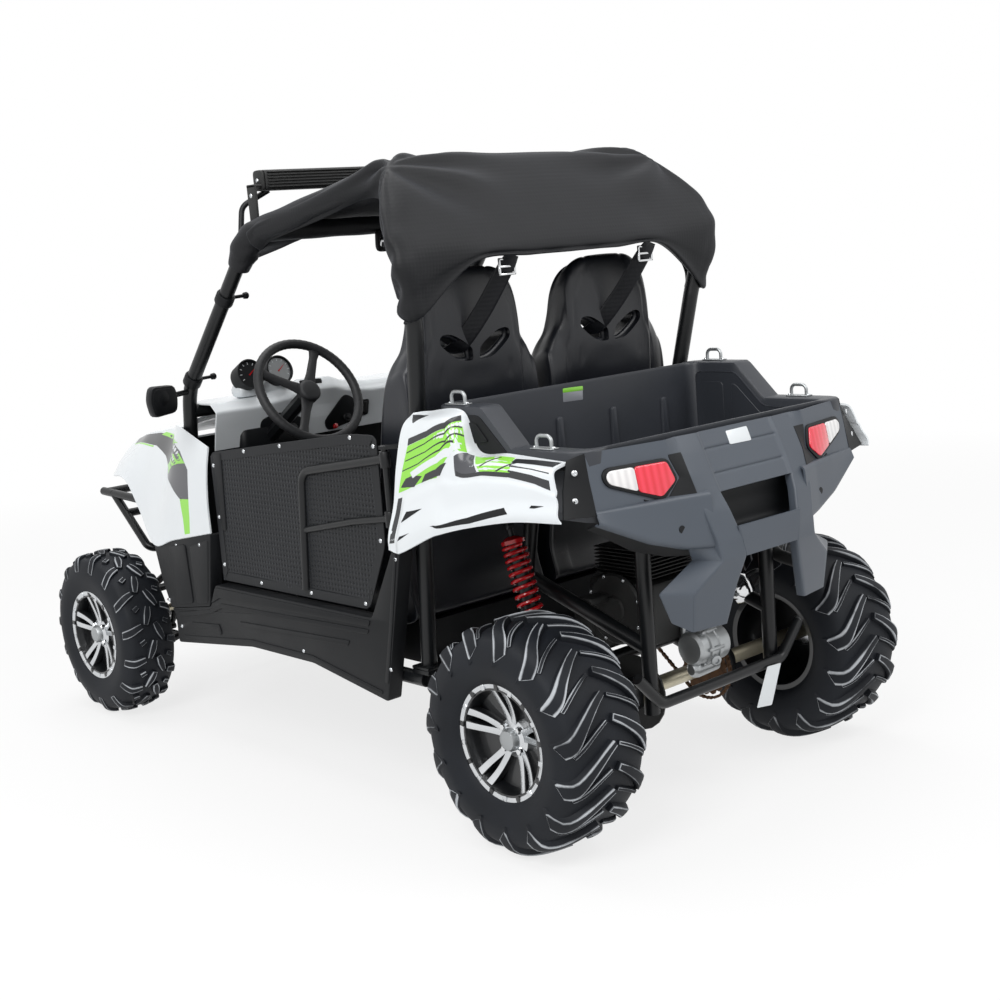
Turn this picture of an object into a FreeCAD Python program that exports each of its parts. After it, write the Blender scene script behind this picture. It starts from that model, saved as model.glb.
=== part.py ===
import FreeCAD, Part
import math
import os
import Sketcher

Vector = FreeCAD.Vector

# Frame: millimetres, +X is the vehicle's left, the nose points along -Y, +Z is up.
# The origin lies on the ground, midway between nose and tail.

# Driving dimensions. Each one is written once, here.
SIZES = {
    # running gear
    "wheelbase": 1940,
    "rear_axle_y": 995,
    "rear_tyre_dia": 559,
    "rear_tyre_width": 254,
    "rear_half_track": 504,
    "rear_rim_width": 196,
    "rear_lug_height": 17,
    "front_tyre_dia": 533,
    "front_tyre_width": 178,
    "front_half_track": 545,
    "front_rim_width": 146,
    "front_lug_height": 12,
    "rear_lugs": 15,
    "front_lugs": 13,
    "tyre_wall": 12,
    "rim_dia": 262,
    "lip_dia": 290,
    "rim_wall": 6,
    "spoke_count": 5,
    "hub_dia": 96,
    "axle_dia": 40,
    "spindle_dia": 25,
    "kingpin_x": 430,
    "kingpin_dia": 28,
    "kingpin_height": 176,
    "arm_dia": 24,
    "sleeve_dia": 32,
    "steer_arm": 60,
    "steer_arm_rise": 16,
    "steer_arm_thick": 12,
    "moving_gap": 5,
    "rack_dia": 22,
    "rack_housing_length": 240,
    "rack_foot_width": 24,
    "sprocket_x": -120,
    "sprocket_dia": 150,
    "chain_width": 14,
    "chain_clear": 5,
    "drive_y": 800,
    "drive_z": 380,
    "drive_radius": 28,
    "disc_dia": 190,
    # frame
    "rail_dia": 38,
    "rail_z": 340,
    "nose_rail_z": 245,
    "main_rail_x": 230,
    "side_rail_x": 500,
    "nose_rail_y": -1130,
    "front_cross_y": -540,
    "seat_cross_y": 150,
    "rear_cross_y": 610,
    "nose_post_y": -1040,
    "tower_y": -850,
    "nose_frame_z": 640,
    "deck_rail_z": 752,
    "deck_rail_end_y": 1185,
    "bumper_dia": 28,
    "bumper_x": 330,
    "bumper_tip_y": -1331,
    "bumper_z": 664,
    "guard_z": 301,
    "guard_dia": 28,
    "cage_dia": 42,
    "cross_bar_dia": 36,
    "header_half": 450,
    "header_y": 20,
    "header_z": 1494,
    "hoop_wide_x": 540,
    "hoop_wide_y": 718,
    "hoop_wide_z": 1400,
    "dash_bar_z": 988.6,
    "foot_thick": 8,
    "foot_side": 64,
    "swing_pivot_y": 735,
    "swing_pivot_z": 365,
    "swing_arm_x": 175,
    "outrigger_dia": 34,
    "outrigger_rise": 13,
    "shock_x": 320,
    "shock_coil_dia": 64,
    "engine_right_x": -100,
    "engine_left_x": 136,
    "engine_front_y": 830,
    "engine_rear_y": 1060,
    "engine_low_z": 400,
    "engine_high_z": 600,
    # running clearances
    "seat_gap": 0.3,
    "shaft_gap": 0.05,
    # body
    "panel_wall": 5,
    "sill_inner_x": 519.6,
    "sill_outer_x": 562,
    "bed_front_y": 735,
    "bed_rear_y": 1190.5,
    "bed_half_width": 445,
    "bed_front_z": 1042,
    "bed_rear_z": 948,
    "bed_step_y": 985,
    "bed_wall": 7,
    "bed_rim_x": 497,
    "fascia_half": 475,
    "seat_x": 250,
    "seat_width": 450,
    "seat_head_z": 1336,
    "seat_base_z": 470,
    "floor_half_width": 447,
    "roof_half_width": 405,
    "roof_z": 1612,
    "roof_rear_y": 560,
    "light_bar_length": 840,
    "steering_x": 262,
    "steering_y": -120,
    "steering_z": 1030,
    "steering_wheel_dia": 350,
    "steering_rim_dia": 28,
    "column_tilt": 32,
    "column_dia": 44,
    "firewall_y": -514,
    "door_hinge_y": 580,
    "door_pin_x": 545,
    "door_pin_dia": 16,
    "dash_half_width": 455,
    "canvas_wall": 3,
    "door_bar_dia": 25,
    "door_x": 543,
}


class Size:
    """A length with its number now and the sheet expression that gives it."""

    def __init__(self, value, text):
        self.value = value
        self.text = text

    def __float__(self):
        return float(self.value)

    def __add__(self, other):
        return combined(self, "+", other)

    def __radd__(self, other):
        return combined(other, "+", self)

    def __sub__(self, other):
        return combined(self, "-", other)

    def __rsub__(self, other):
        return combined(other, "-", self)

    def __mul__(self, other):
        return combined(self, "*", other)

    def __rmul__(self, other):
        return combined(other, "*", self)

    def __truediv__(self, other):
        return combined(self, "/", other)

    def __neg__(self):
        return combined(0, "-", self)


def sized(number):
    """A plain number as a Size; a Size as it is."""
    if isinstance(number, Size):
        return number
    return Size(float(number), "(%s)" % round(float(number), 6))


def combined(left, sign, right):
    """The sum, difference, product or quotient of two sizes."""
    left, right = sized(left), sized(right)
    results = {
        "+": left.value + right.value,
        "-": left.value - right.value,
        "*": left.value * right.value,
        "/": left.value / right.value if right.value else 0.0,
    }
    return Size(results[sign], "(%s %s %s)" % (left.text, sign, right.text))


def make_sheet(doc):
    """The sheet of driving dimensions, one named cell each."""
    sheet = doc.addObject("Spreadsheet::Sheet", "Sizes")
    for row, (alias, number) in enumerate(SIZES.items(), start=1):
        sheet.set("A%d" % row, alias)
        sheet.set("B%d" % row, str(number))
        sheet.setAlias("B%d" % row, alias)
    doc.recompute()
    return sheet


class Named:
    """Reads the sheet: every dimension is an attribute."""

    def __init__(self, sheet):
        for alias in SIZES:
            setattr(self, alias, Size(float(getattr(sheet, alias)), "Sizes.%s" % alias))


doc = FreeCAD.newDocument("side_by_side")
size = Named(make_sheet(doc))
nodes = []


def node(item, name):
    """Name a finished sub-part, which is then one file."""
    item.Label = name
    nodes.append(item)
    return item


def shape_node(name, shape):
    """A sub-part whose shape is worked out by the functions below."""
    item = doc.addObject("Part::Feature", name)
    item.Shape = shape
    return node(item, name)


def bind(item, prop, length):
    """Bind one property of a document object to the sheet."""
    item.setExpression(prop, sized(length).text)


def place(item, x=0, y=0, z=0):
    """Bind the item's position to the sheet."""
    for axis, length in zip("xyz", (x, y, z)):
        bind(item, "Placement.Base.%s" % axis, length)


def turned(axis, degrees):
    """A rotation about one of the frame's axes."""
    return FreeCAD.Rotation(Vector(*axis), degrees)


def spot(x, y, z):
    """A point from numbers or sizes."""
    return Vector(float(x), float(y), float(z))


def pair(name, shape):
    """A left-hand sub-part and its mirror image on the right."""
    left = shape_node(name + "_left", shape)
    right = doc.addObject("Part::Mirroring", name + "_right")
    right.Source = left
    right.Normal = Vector(1, 0, 0)
    node(right, name + "_right")


# Sketched bodies

def new_body(name):
    return doc.addObject("PartDesign::Body", name)


def datum(body, role):
    """The body's own origin plane or axis of that role."""
    return next(item for item in body.Origin.OriginFeatures if item.Role == role)


def add_outline(sketch, corners):
    """A closed polygon whose corners are held by bound distances from the origin."""
    first = sketch.GeometryCount
    count = len(corners)
    for i in range(count):
        start, end = corners[i], corners[(i + 1) % count]
        line = Part.LineSegment(spot(*start, 0), spot(*end, 0))
        sketch.addGeometry(line, False)
    for i in range(count):
        following = first + (i + 1) % count
        sketch.addConstraint(Sketcher.Constraint("Coincident", first + i, 2, following, 1))
    for i, corner in enumerate(corners):
        for kind, axis, length in zip(("DistanceX", "DistanceY"), (-2, -1), corner):
            hold(sketch, kind, axis, first + i, 1, length)


def hold(sketch, kind, axis, item, end, length):
    """Hold one coordinate of a point: on the axis, or a bound distance from it."""
    if abs(float(length)) < 1e-9:
        sketch.addConstraint(Sketcher.Constraint("PointOnObject", item, end, axis))
        return
    index = sketch.addConstraint(Sketcher.Constraint(kind, -1, 1, item, end, float(length)))
    if isinstance(length, Size):
        sketch.setExpression("Constraints[%d]" % index, length.text)



def new_sketch(body, name, role, outlines, offset=0):
    """A sketch on one of the body's origin planes, shifted along its normal."""
    sketch = body.newObject("Sketcher::SketchObject", name)
    sketch.AttachmentSupport = (datum(body, role), [""])
    sketch.MapMode = "FlatFace"
    bind(sketch, "AttachmentOffset.Base.z", offset)
    for corners in outlines:
        add_outline(sketch, corners)
    return sketch


def feature(body, kind, name, sketch):
    item = body.newObject("PartDesign::" + kind, name)
    item.Profile = (sketch, [""])
    return item



def padded(body, name, sketch, length, middle=False, kind="Pad"):
    item = feature(body, kind, name, sketch)
    bind(item, "Length", length)
    item.Midplane = middle
    return item


def cut_through(body, name, sketch):
    """Cut a sketch through the whole body, both ways."""
    item = feature(body, "Pocket", name, sketch)
    item.Type = "ThroughAll"
    item.Midplane = True
    return item



# Solids from primitives

def rod(name, radius, length, base):
    """A round bar along X whose size and place are bound to the sheet."""
    item = doc.addObject("Part::Cylinder", name)
    bind(item, "Radius", radius)
    bind(item, "Height", length)
    item.Placement = FreeCAD.Placement(Vector(), turned((0, 1, 0), 90))
    place(item, *base)
    return item


def block(name, corner, extent):
    """A box from its low corner and its three sides."""
    item = doc.addObject("Part::Box", name)
    for prop, length in zip(("Length", "Width", "Height"), extent):
        bind(item, prop, length)
    place(item, *corner)
    return item


def fused(name, items):
    item = doc.addObject("Part::MultiFuse", name)
    item.Shapes = items
    return item


def cut(name, base, tool):
    item = doc.addObject("Part::Cut", name)
    item.Base = base
    item.Tool = tool
    return item




# Bent tubes and lofted panels

def other_side(shape):
    return shape.mirror(Vector(0, 0, 0), Vector(1, 0, 0))


def both_sides(shapes):
    return list(shapes) + [other_side(shape) for shape in shapes]


def one_solid(shapes):
    """Weld shapes that meet into one."""
    return shapes[0].multiFuse(list(shapes[1:])).removeSplitter()


def stepped_path(corners, bend):
    """Straight runs joined by bends of the radius, each bend in even steps."""
    path = [corners[0]]
    for before, corner, after in zip(corners, corners[1:], corners[2:]):
        back = (before - corner).normalize()
        ahead = (after - corner).normalize()
        half = back.getAngle(ahead) / 2
        centre = corner + (back + ahead).normalize() * (bend / math.sin(half))
        spoke = corner + back * (bend / math.tan(half)) - centre
        axis = back.cross(ahead)
        sweep = math.degrees(math.pi - 2 * half)
        steps = max(1, math.ceil(sweep / 34))
        for i in range(steps + 1):
            path.append(centre + FreeCAD.Rotation(axis, -sweep * i / steps).multVec(spoke))
    path.append(corners[-1])
    return path


def tube(corners, dia, bend=60, sides=8):
    """A tube's outside in flat sides, carried along its bent path and mitred at each step."""
    path = stepped_path([spot(*corner) for corner in corners], float(bend))
    steps = [(end - start).normalize() for start, end in zip(path, path[1:])]
    across_path = steps[0].cross(Vector(0, 0, 1) if abs(steps[0].z) < 0.9 else Vector(1, 0, 0)).normalize()
    ring = [path[0] + FreeCAD.Rotation(steps[0], 360 * i / sides).multVec(across_path * (float(dia) / 2))
            for i in range(sides)]
    rings = [ring]
    for i, point in enumerate(path[1:]):
        mitre = steps[i] + steps[min(i + 1, len(steps) - 1)]
        ring = [p + steps[i] * ((point - p).dot(mitre) / steps[i].dot(mitre)) for p in ring]
        rings.append(ring)
    return skinned(rings)


def plate(x, y, z, width, depth, height):
    """A flat foot or bracket, centred on x and y, rising from z."""
    corner = spot(x - width / 2, y - depth / 2, z)
    return Part.makeBox(float(width), float(depth), float(height), corner)


def ring_of(points):
    corners = [spot(*point) for point in points]
    return Part.makePolygon(corners + corners[:1])


def flat_faces(corners):
    """One face where the corners lie in a plane, else triangles from the first corner."""
    a, b, c = corners[:3]
    normal = (b - a).cross(c - a)
    if len(corners) == 3 or all(abs(normal.dot(d - a)) < 1e-6 * normal.Length for d in corners[3:]):
        return [Part.Face(Part.makePolygon(corners + [a]))]
    return [Part.Face(Part.makePolygon([a, p, q, a])) for p, q in zip(corners[1:], corners[2:])]


def skinned(stations):
    """A closed solid through closed outlines of equal point count, in flat faces."""
    rings = [[spot(*point) for point in points] for points in stations]
    faces = flat_faces(rings[0]) + flat_faces(rings[-1])
    for low, high in zip(rings, rings[1:]):
        for i in range(len(low)):
            following = (i + 1) % len(low)
            faces += flat_faces([low[i], low[following], high[following], high[i]])
    return closed_solid(faces)


def closed_solid(faces):
    """Sew faces that close a volume into a solid, its faces outward."""
    solid = Part.Solid(Part.Shell(faces))
    if solid.Volume < 0:
        solid.reverse()
    return solid


def sheet(rows, wall):
    """A thin shell over a grid of points; the wall lies on the side its sign gives."""
    grid = [[spot(*point) for point in row] for row in rows]
    inner = [[point - grid_normal(grid, i, j) * float(wall) for j, point in enumerate(row)]
             for i, row in enumerate(grid)]
    faces = []
    last_i, last_j = len(grid) - 1, len(grid[0]) - 1
    for side in (grid, inner):
        for i in range(last_i):
            for j in range(last_j):
                faces += flat_faces([side[i][j], side[i][j + 1], side[i + 1][j + 1], side[i + 1][j]])
    edges = [(0, j, 0, j + 1) for j in range(last_j)] + [(last_i, j, last_i, j + 1) for j in range(last_j)]
    edges += [(i, 0, i + 1, 0) for i in range(last_i)] + [(i, last_j, i + 1, last_j) for i in range(last_i)]
    for a, b, c, d in edges:
        faces += flat_faces([grid[a][b], grid[c][d], inner[c][d], inner[a][b]])
    return closed_solid(faces)


def grid_normal(grid, i, j):
    """The unit normal of a grid of points at one of them."""
    along = grid[min(i + 1, len(grid) - 1)][j] - grid[max(i - 1, 0)][j]
    over = grid[i][min(j + 1, len(grid[0]) - 1)] - grid[i][max(j - 1, 0)]
    return over.cross(along).normalize()


def side_plate(outline, low, high):
    """A flat plate seen from the side: its outline in Y and Z, its two faces in X."""
    footprint = ring_of([(low, y, z) for y, z in outline])
    return Part.Face(footprint).extrude(Vector(float(high) - float(low), 0, 0))


def inset(outline, wall):
    """The same polygon one wall inward, whichever way round it runs."""
    area = sum(a[0] * b[1] - b[0] * a[1] for a, b in zip(outline, outline[1:] + outline[:1]))
    side = wall if area > 0 else -wall
    found = []
    for before, corner, after in zip(outline[-1:] + outline[:-1], outline, outline[1:] + outline[:1]):
        lines = []
        for start, end in ((before, corner), (corner, after)):
            dy, dz = end[0] - start[0], end[1] - start[1]
            length = math.hypot(dy, dz)
            lines.append((-dz / length, dy / length))
        (ay, az), (by, bz) = lines
        scale = side / (1 + ay * by + az * bz)
        found.append((corner[0] + (ay + by) * scale, corner[1] + (az + bz) * scale))
    return found


# Wheels

def wheel_ring(x, radius, sides):
    """A many-sided outline square to the axle; its flats clear the radius."""
    reach = float(radius) / math.cos(math.pi / sides)
    turns = [math.pi * (2 * i + 1) / sides for i in range(sides)]
    return [(float(x), reach * math.sin(turn), reach * math.cos(turn)) for turn in turns]


def turned_solid(stations, sides):
    """A round solid about X from its radius at each station."""
    return skinned([wheel_ring(x, radius, sides) for x, radius in stations])


def tyre(dia, width, rim_width, lug_height, shoulder, lug_rows, lug_count):
    """A hollow casing, open at the beads, with its lugs standing on the crown."""
    count = int(float(lug_count))
    sides = count * 2
    half, radius, seat = float(width) / 2, float(dia) / 2, float(size.rim_dia / 2 + size.seat_gap)
    bead = float(rim_width / 2 - size.seat_gap)
    crown = radius - float(lug_height)
    wall = float(size.tyre_wall)
    bulge = (seat + radius) / 2
    outer = [(half, bulge), (half - 5, crown - shoulder), (half - shoulder, crown)]
    casing = turned_solid([(-x, r) for x, r in outer] + outer[::-1], sides)
    hollow = [(bead - wall, seat - 1), (half - wall * 2, crown - wall - 6)]
    casing = casing.cut(turned_solid([(-x, r) for x, r in hollow] + hollow[::-1], count))
    for sign in (1, -1):
        dish = [(sign * bead, float(size.lip_dia) / 2 + 1), (sign * (half + 1), bulge + 1)]
        casing = casing.cut(turned_solid(dish, count))
    casing = casing.cut(turned_solid([(-half - 1, seat), (half + 1, seat)], count))
    return casing.multiFuse(standing_lugs(radius, crown - wall * 0.6, lug_rows, count))


def standing_lugs(radius, root, lug_rows, count):
    """Every lug, its outer corners on the tyre's outside diameter."""
    lugs = []
    for outline in lug_rows:
        reach = max(abs(y) for x, y in outline)
        top = math.sqrt(radius * radius - reach * reach)
        footprint = ring_of([(x, y, root) for x, y in outline])
        lug = Part.Face(footprint).extrude(Vector(0, 0, top - root))
        for i in range(count):
            copy = lug.copy()
            copy.rotate(Vector(0, 0, 0), Vector(1, 0, 0), i * 360 / count)
            lugs.append(copy)
    return lugs


def across(line):
    """The same outline on the other side of the middle."""
    return [(-x, y) for x, y in line]


def chevron_lugs(half):
    """Two swept bars that run from the middle of the tread out over the shoulders."""
    arm = [(6, -44), (half * 0.55, -16), (half - 4, 30), (half - 8, 52), (6, -16)]
    return [arm, across(arm)]


def knob_lugs(half):
    """A pair of drop-shaped knobs in the middle and one block on each shoulder."""
    knob = [(4, -24), (25, -18), (13, 22), (4, 10)]
    shoulder_block = [(half - 34, 24), (half - 3, 30), (half - 3, 50), (half - 34, 44)]
    return [knob, shoulder_block, across(knob), across(shoulder_block)]


def rim(rim_width, bore_dia, dish_depth):
    """A wheel rim: barrel with lips, a dished disc with spoke windows, a bored hub."""
    sides = int(float(size.spoke_count)) * 4
    inside = math.cos(math.pi / sides)
    half, seat, lip = float(rim_width) / 2, float(size.rim_dia) / 2 * inside, float(size.lip_dia) / 2 * inside
    wall, hub = float(size.rim_wall), float(size.hub_dia) / 2
    edge = half + wall
    barrel = turned_solid([(-half, seat), (half, seat)], sides)
    barrel = barrel.cut(turned_solid([(-edge, seat - wall), (edge, seat - wall)], sides))
    lip_hole = turned_solid([(-edge - 1, seat - wall), (edge + 1, seat - wall)], sides)
    lips = [turned_solid([(x, lip), (x + wall, lip)], sides).cut(lip_hole) for x in (half, -edge)]
    back = edge - dish_depth
    disc = turned_solid([(back - 14, hub), (back - 8, seat - wall)], sides)
    disc = disc.fuse(turned_solid([(back - 8, seat - wall), (back + 8, seat - wall)], sides))
    disc = disc.fuse(turned_solid([(back - 14, hub * 0.8), (back + 20, hub * 0.8)], sides))
    inner, outer = hub + 4, seat - wall - 12
    window = ring_of([(back - 40, -10, inner), (back - 40, 10, inner), (back - 40, 36, outer - 6),
                      (back - 40, -36, outer - 6)])
    opening = Part.Face(window).extrude(Vector(80, 0, 0))
    for i in range(int(float(size.spoke_count))):
        copy = opening.copy()
        copy.rotate(Vector(0, 0, 0), Vector(1, 0, 0), i * 360 / float(size.spoke_count))
        disc = disc.cut(copy)
    bore = Part.makeCylinder(float(bore_dia) / 2, 2 * edge, spot(-edge, 0, 0), Vector(1, 0, 0))
    return one_solid([barrel, disc] + lips).cut(bore)


def wheel_nodes(name, shape, half_track, axle_y, dia):
    """The left piece stood on the ground at its place, and its mirror image."""
    shape.translate(spot(half_track, axle_y, dia / 2))
    pair(name, shape)


front_axle_y = size.rear_axle_y - size.wheelbase
front_axle_z = size.front_tyre_dia / 2
rear_axle_z = size.rear_tyre_dia / 2

front_tyre = tyre(size.front_tyre_dia, size.front_tyre_width, size.front_rim_width,
                  size.front_lug_height, 18, knob_lugs(float(size.front_tyre_width) / 2), size.front_lugs)
rear_tyre = tyre(size.rear_tyre_dia, size.rear_tyre_width, size.rear_rim_width,
                 size.rear_lug_height, 24, chevron_lugs(float(size.rear_tyre_width) / 2), size.rear_lugs)
front_rim = rim(size.front_rim_width, size.spindle_dia + size.shaft_gap * 2, 30)
rear_rim = rim(size.rear_rim_width, size.axle_dia + size.seat_gap * 2, 46)
wheel_nodes("tyre_front", front_tyre, size.front_half_track, front_axle_y, size.front_tyre_dia)
wheel_nodes("rim_front", front_rim, size.front_half_track, front_axle_y, size.front_tyre_dia)
wheel_nodes("tyre_rear", rear_tyre, size.rear_half_track, size.rear_axle_y, size.rear_tyre_dia)
wheel_nodes("rim_rear", rear_rim, size.rear_half_track, size.rear_axle_y, size.rear_tyre_dia)


# Rear axle: one live axle carries both wheels, the sprocket and the brake disc

def x_rod(radius, low, high, y, z):
    """A round bar along X between two stations."""
    return Part.makeCylinder(float(radius), float(high - low), spot(low, y, z), Vector(1, 0, 0))



def z_rod(radius, low, high, x, y):
    """A round bar along Z between two stations."""
    return Part.makeCylinder(float(radius), float(high - low), spot(x, y, low), Vector(0, 0, 1))


def toothed_disc(radius, teeth, tooth, thick, x, y, z):
    """A flat disc in the wheel plane with straight-sided teeth."""
    points = []
    for i in range(teeth):
        middle = 2 * math.pi * i / teeth
        for offset, reach in ((-0.36, 0), (-0.12, tooth), (0.12, tooth), (0.36, 0)):
            turn = middle + offset * 2 * math.pi / teeth
            points.append((x, y + (radius + reach) * math.sin(turn), z + (radius + reach) * math.cos(turn)))
    return Part.Face(ring_of(points)).extrude(Vector(thick, 0, 0))


def flat_disc(radius, thick, x, y, z, sides=20):
    """A round plate square to the axle, its low face at x."""
    disc = turned_solid([(x, radius), (x + thick, radius)], sides)
    disc.translate(spot(0, y, z))
    return disc


def upright_disc(radius, low, high, x, y, sides=12):
    """A round plate or post in flat sides between two heights."""
    turns = [2 * math.pi * i / sides for i in range(sides)]
    outline = ring_of([(x + float(radius) * math.cos(t), y + float(radius) * math.sin(t), low) for t in turns])
    return Part.Face(outline).extrude(Vector(0, 0, float(high) - float(low)))


def rear_axle_nodes():
    y, z = size.rear_axle_y, rear_axle_z
    half = size.rear_half_track + size.rear_rim_width / 2 - 20
    node(rod("rear_axle", size.axle_dia / 2, half * 2, (-half, y, z)), "rear_axle")
    hole = flat_disc(float(size.axle_dia / 2 + size.seat_gap), 600, -300, y, z)
    x, boss = float(size.sprocket_x), float(size.axle_dia) * 0.85
    wheel = toothed_disc(float(size.sprocket_dia) / 2 - 6, 18, 6, 8, x - 4, float(y), float(z))
    shape_node("rear_sprocket", wheel.fuse(flat_disc(boss, 22, x - 26, y, z)).cut(hole))
    face = float(size.engine_left_x + size.moving_gap)
    disc = flat_disc(float(size.disc_dia) / 2, 5, face, y, z)
    shape_node("brake_disc", disc.fuse(flat_disc(boss, 24, face - 19, y, z)).cut(hole))


rear_axle_nodes()


# Frame of welded round tube

def frame_shape():
    """Main rails that rise behind the seats, side rails, cross tubes and the nose frame."""
    dia, z, x = size.rail_dia, size.rail_z, size.main_rail_x
    rear = size.rear_cross_y
    main = tube([
        (x, size.nose_rail_y, size.nose_rail_z),
        (x, size.front_cross_y - 190, size.nose_rail_z),
        (x, size.front_cross_y - 20, z),
        (x, rear + 60, z),
        (x, rear + 150, size.deck_rail_z),
        (x, size.deck_rail_end_y, size.deck_rail_z),
    ], dia, 60)
    nose = tube([
        (x, size.nose_post_y, size.nose_rail_z),
        (x, size.nose_post_y, size.nose_frame_z),
        (x, size.front_cross_y, size.nose_frame_z + 50),
        (x, size.front_cross_y, z),
    ], dia, 50)
    tower = tube([(x, size.tower_y, size.nose_rail_z), (x, size.tower_y, size.nose_frame_z + 18)], dia)
    side = tube([(size.side_rail_x, size.front_cross_y, z), (size.side_rail_x, rear, z)], dia)
    tail_y = size.deck_rail_end_y - 60
    tail = tube([(x, tail_y, size.guard_z - 30), (x, tail_y, size.deck_rail_z)], dia)
    strut = tube([(x, tail_y, size.guard_z + 131), (x, rear + 130, size.guard_z + 261)], dia)
    lug_y = size.swing_pivot_y
    bracket = Part.makeBox(8, 110, 70, spot(x - 10, lug_y - 90, size.swing_pivot_z - 30))
    foot_base = float(z + dia / 2 - 4)
    feet = [plate(float(size.side_rail_x) - 20, float(y), foot_base, float(size.foot_side),
                  float(size.foot_side), 4 + float(size.foot_thick)) for y in (size.front_cross_y + 22, rear - 10)]
    shock_lug = Part.makeBox(60, 40, 8, spot(x, rear + 90, size.deck_rail_z - 10))
    sides = both_sides([main, nose, tower, side, tail, strut, bracket] + feet)
    half = size.side_rail_x
    crossings = [tube([(-half, y, z), (half, y, z)], dia) for y in (size.front_cross_y, size.seat_cross_y, rear)]
    crossings.append(tube([(-x, size.nose_post_y, size.nose_frame_z), (x, size.nose_post_y, size.nose_frame_z)], dia))
    crossings.append(tube([(-x, size.nose_post_y, size.nose_rail_z), (x, size.nose_post_y, size.nose_rail_z)], dia))
    crossings.append(tube([(-x, size.tower_y, size.nose_rail_z), (x, size.tower_y, size.nose_rail_z)], dia))
    crossings.append(tube([(-x, size.deck_rail_end_y - 60, size.deck_rail_z), (x, size.deck_rail_end_y - 60, size.deck_rail_z)], dia))
    crossings.append(tube([(-x - 110, rear + 150, size.deck_rail_z), (x + 110, rear + 150, size.deck_rail_z)], dia))
    return one_solid(sides + crossings)


shape_node("frame", frame_shape())


def cage_rail(dia):
    """The left windscreen pillar running back into the roof rail."""
    side_x = size.side_rail_x - 20
    foot_z = size.rail_z + size.rail_dia / 2 + size.foot_thick
    return tube([
        (side_x, size.front_cross_y + 22, foot_z + size.foot_thick / 2),
        (side_x, size.front_cross_y + 120, foot_z + 690),
        (side_x - 22, -50, 1482),
        (size.roof_half_width, size.roof_rear_y, size.roof_z),
    ], dia, 170)


def cage_hoop(dia):
    """The left half of the rear hoop, from its foot to the middle of the roof."""
    side_x = size.side_rail_x - 20
    foot_z = size.rail_z + size.rail_dia / 2 + size.foot_thick
    rear_y, x, top = size.rear_cross_y - 10, size.roof_half_width, size.roof_z
    return tube([
        (side_x, rear_y, foot_z + size.foot_thick / 2),
        (side_x + 4, rear_y + 45, foot_z + 640),
        (side_x + 25, rear_y + 90, 1225),
        (size.hoop_wide_x, size.hoop_wide_y, size.hoop_wide_z),
        (x, size.roof_rear_y, top),
        (0, size.roof_rear_y, top),
    ], dia, 70)


def header_bar(dia):
    """The cross bar above the windscreen opening."""
    x, y, z = size.header_half, size.header_y, size.header_z
    return tube([(-x, y, z), (x, y, z)], dia)


def cage_shape():
    """Windscreen pillars and roof rails, the rear hoop and the cross bars, on plate feet."""
    dia = size.cage_dia
    foot_z = size.rail_z + size.rail_dia / 2 + size.foot_thick
    side_x = size.side_rail_x - 20
    front_y, rear_y = size.front_cross_y + 22, size.rear_cross_y - 10
    feet = [plate(float(side_x), float(y), float(foot_z), float(size.foot_side), float(size.foot_side),
                  float(size.foot_thick)) for y in (front_y, rear_y)]
    dash_y, dash_z = size.front_cross_y + 112, size.dash_bar_z
    hem = (size.hoop_wide_x, size.hoop_wide_y + 6, size.hoop_wide_z + 6)
    bars = [header_bar(size.cross_bar_dia)]
    for x, y, z in (hem, (side_x, dash_y, dash_z)):
        bars.append(tube([(-x, y, z), (x, y, z)], size.cross_bar_dia))
    return one_solid(both_sides([cage_rail(dia), cage_hoop(dia)] + feet) + bars)


shape_node("roll_cage", cage_shape())


# Rear suspension: a trailing swing arm carries the axle, two coil-over dampers stand on it

def coil_over(top, foot, dia, coils):
    """A damper between two eyes: the coil's outside as stacked cones, the rod below it."""
    top, foot = spot(*top), spot(*foot)
    length = (top - foot).Length
    radius = float(dia) / 2
    stations = [(0, radius * 0.35), (length * 0.16, radius * 0.35), (length * 0.17, radius * 0.9)]
    pitch = length * 0.72 / coils
    for i in range(coils):
        start = length * 0.17 + i * pitch
        stations += [(start + pitch * 0.5, radius), (start + pitch, radius * 0.74)]
    stations += [(length * 0.9, radius * 0.9), (length * 0.91, radius * 0.4), (length, radius * 0.4)]
    damper = turned_solid(stations, 8)
    turn = FreeCAD.Rotation(Vector(1, 0, 0), top - foot)
    damper.Placement = FreeCAD.Placement(foot, turn)
    return damper


def swing_arm_shape():
    """Pivot tube, two arms, the shock outriggers and a bearing carrier for the axle."""
    pivot_y, pivot_z = size.swing_pivot_y, size.swing_pivot_z
    axle_y, axle_z, x = size.rear_axle_y, rear_axle_z, size.swing_arm_x
    dia = float(size.rail_dia) + 4
    gap = float(size.seat_gap)
    inner = float(size.main_rail_x) - 10 - gap
    pivot = tube([(-inner, pivot_y, pivot_z), (inner, pivot_y, pivot_z)], dia)
    arms = both_sides([tube([(x, pivot_y, pivot_z), (x, axle_y, axle_z)], dia)])
    middle_y, middle_z = (pivot_y + axle_y) / 2, (pivot_z + axle_z) / 2
    reach = size.shock_x + 22
    outrigger = tube([(-reach, middle_y, middle_z + size.outrigger_rise), (reach, middle_y, middle_z + size.outrigger_rise)],
                     size.outrigger_dia)
    carriers = both_sides([flat_disc(float(size.axle_dia) * 1.05, 46, float(x) - 23, axle_y, axle_z, 16)])
    bore = x_rod(size.axle_dia / 2 + size.shaft_gap, -400, 400, axle_y, axle_z)
    return one_solid([pivot, outrigger] + arms + carriers).cut(bore)


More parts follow.
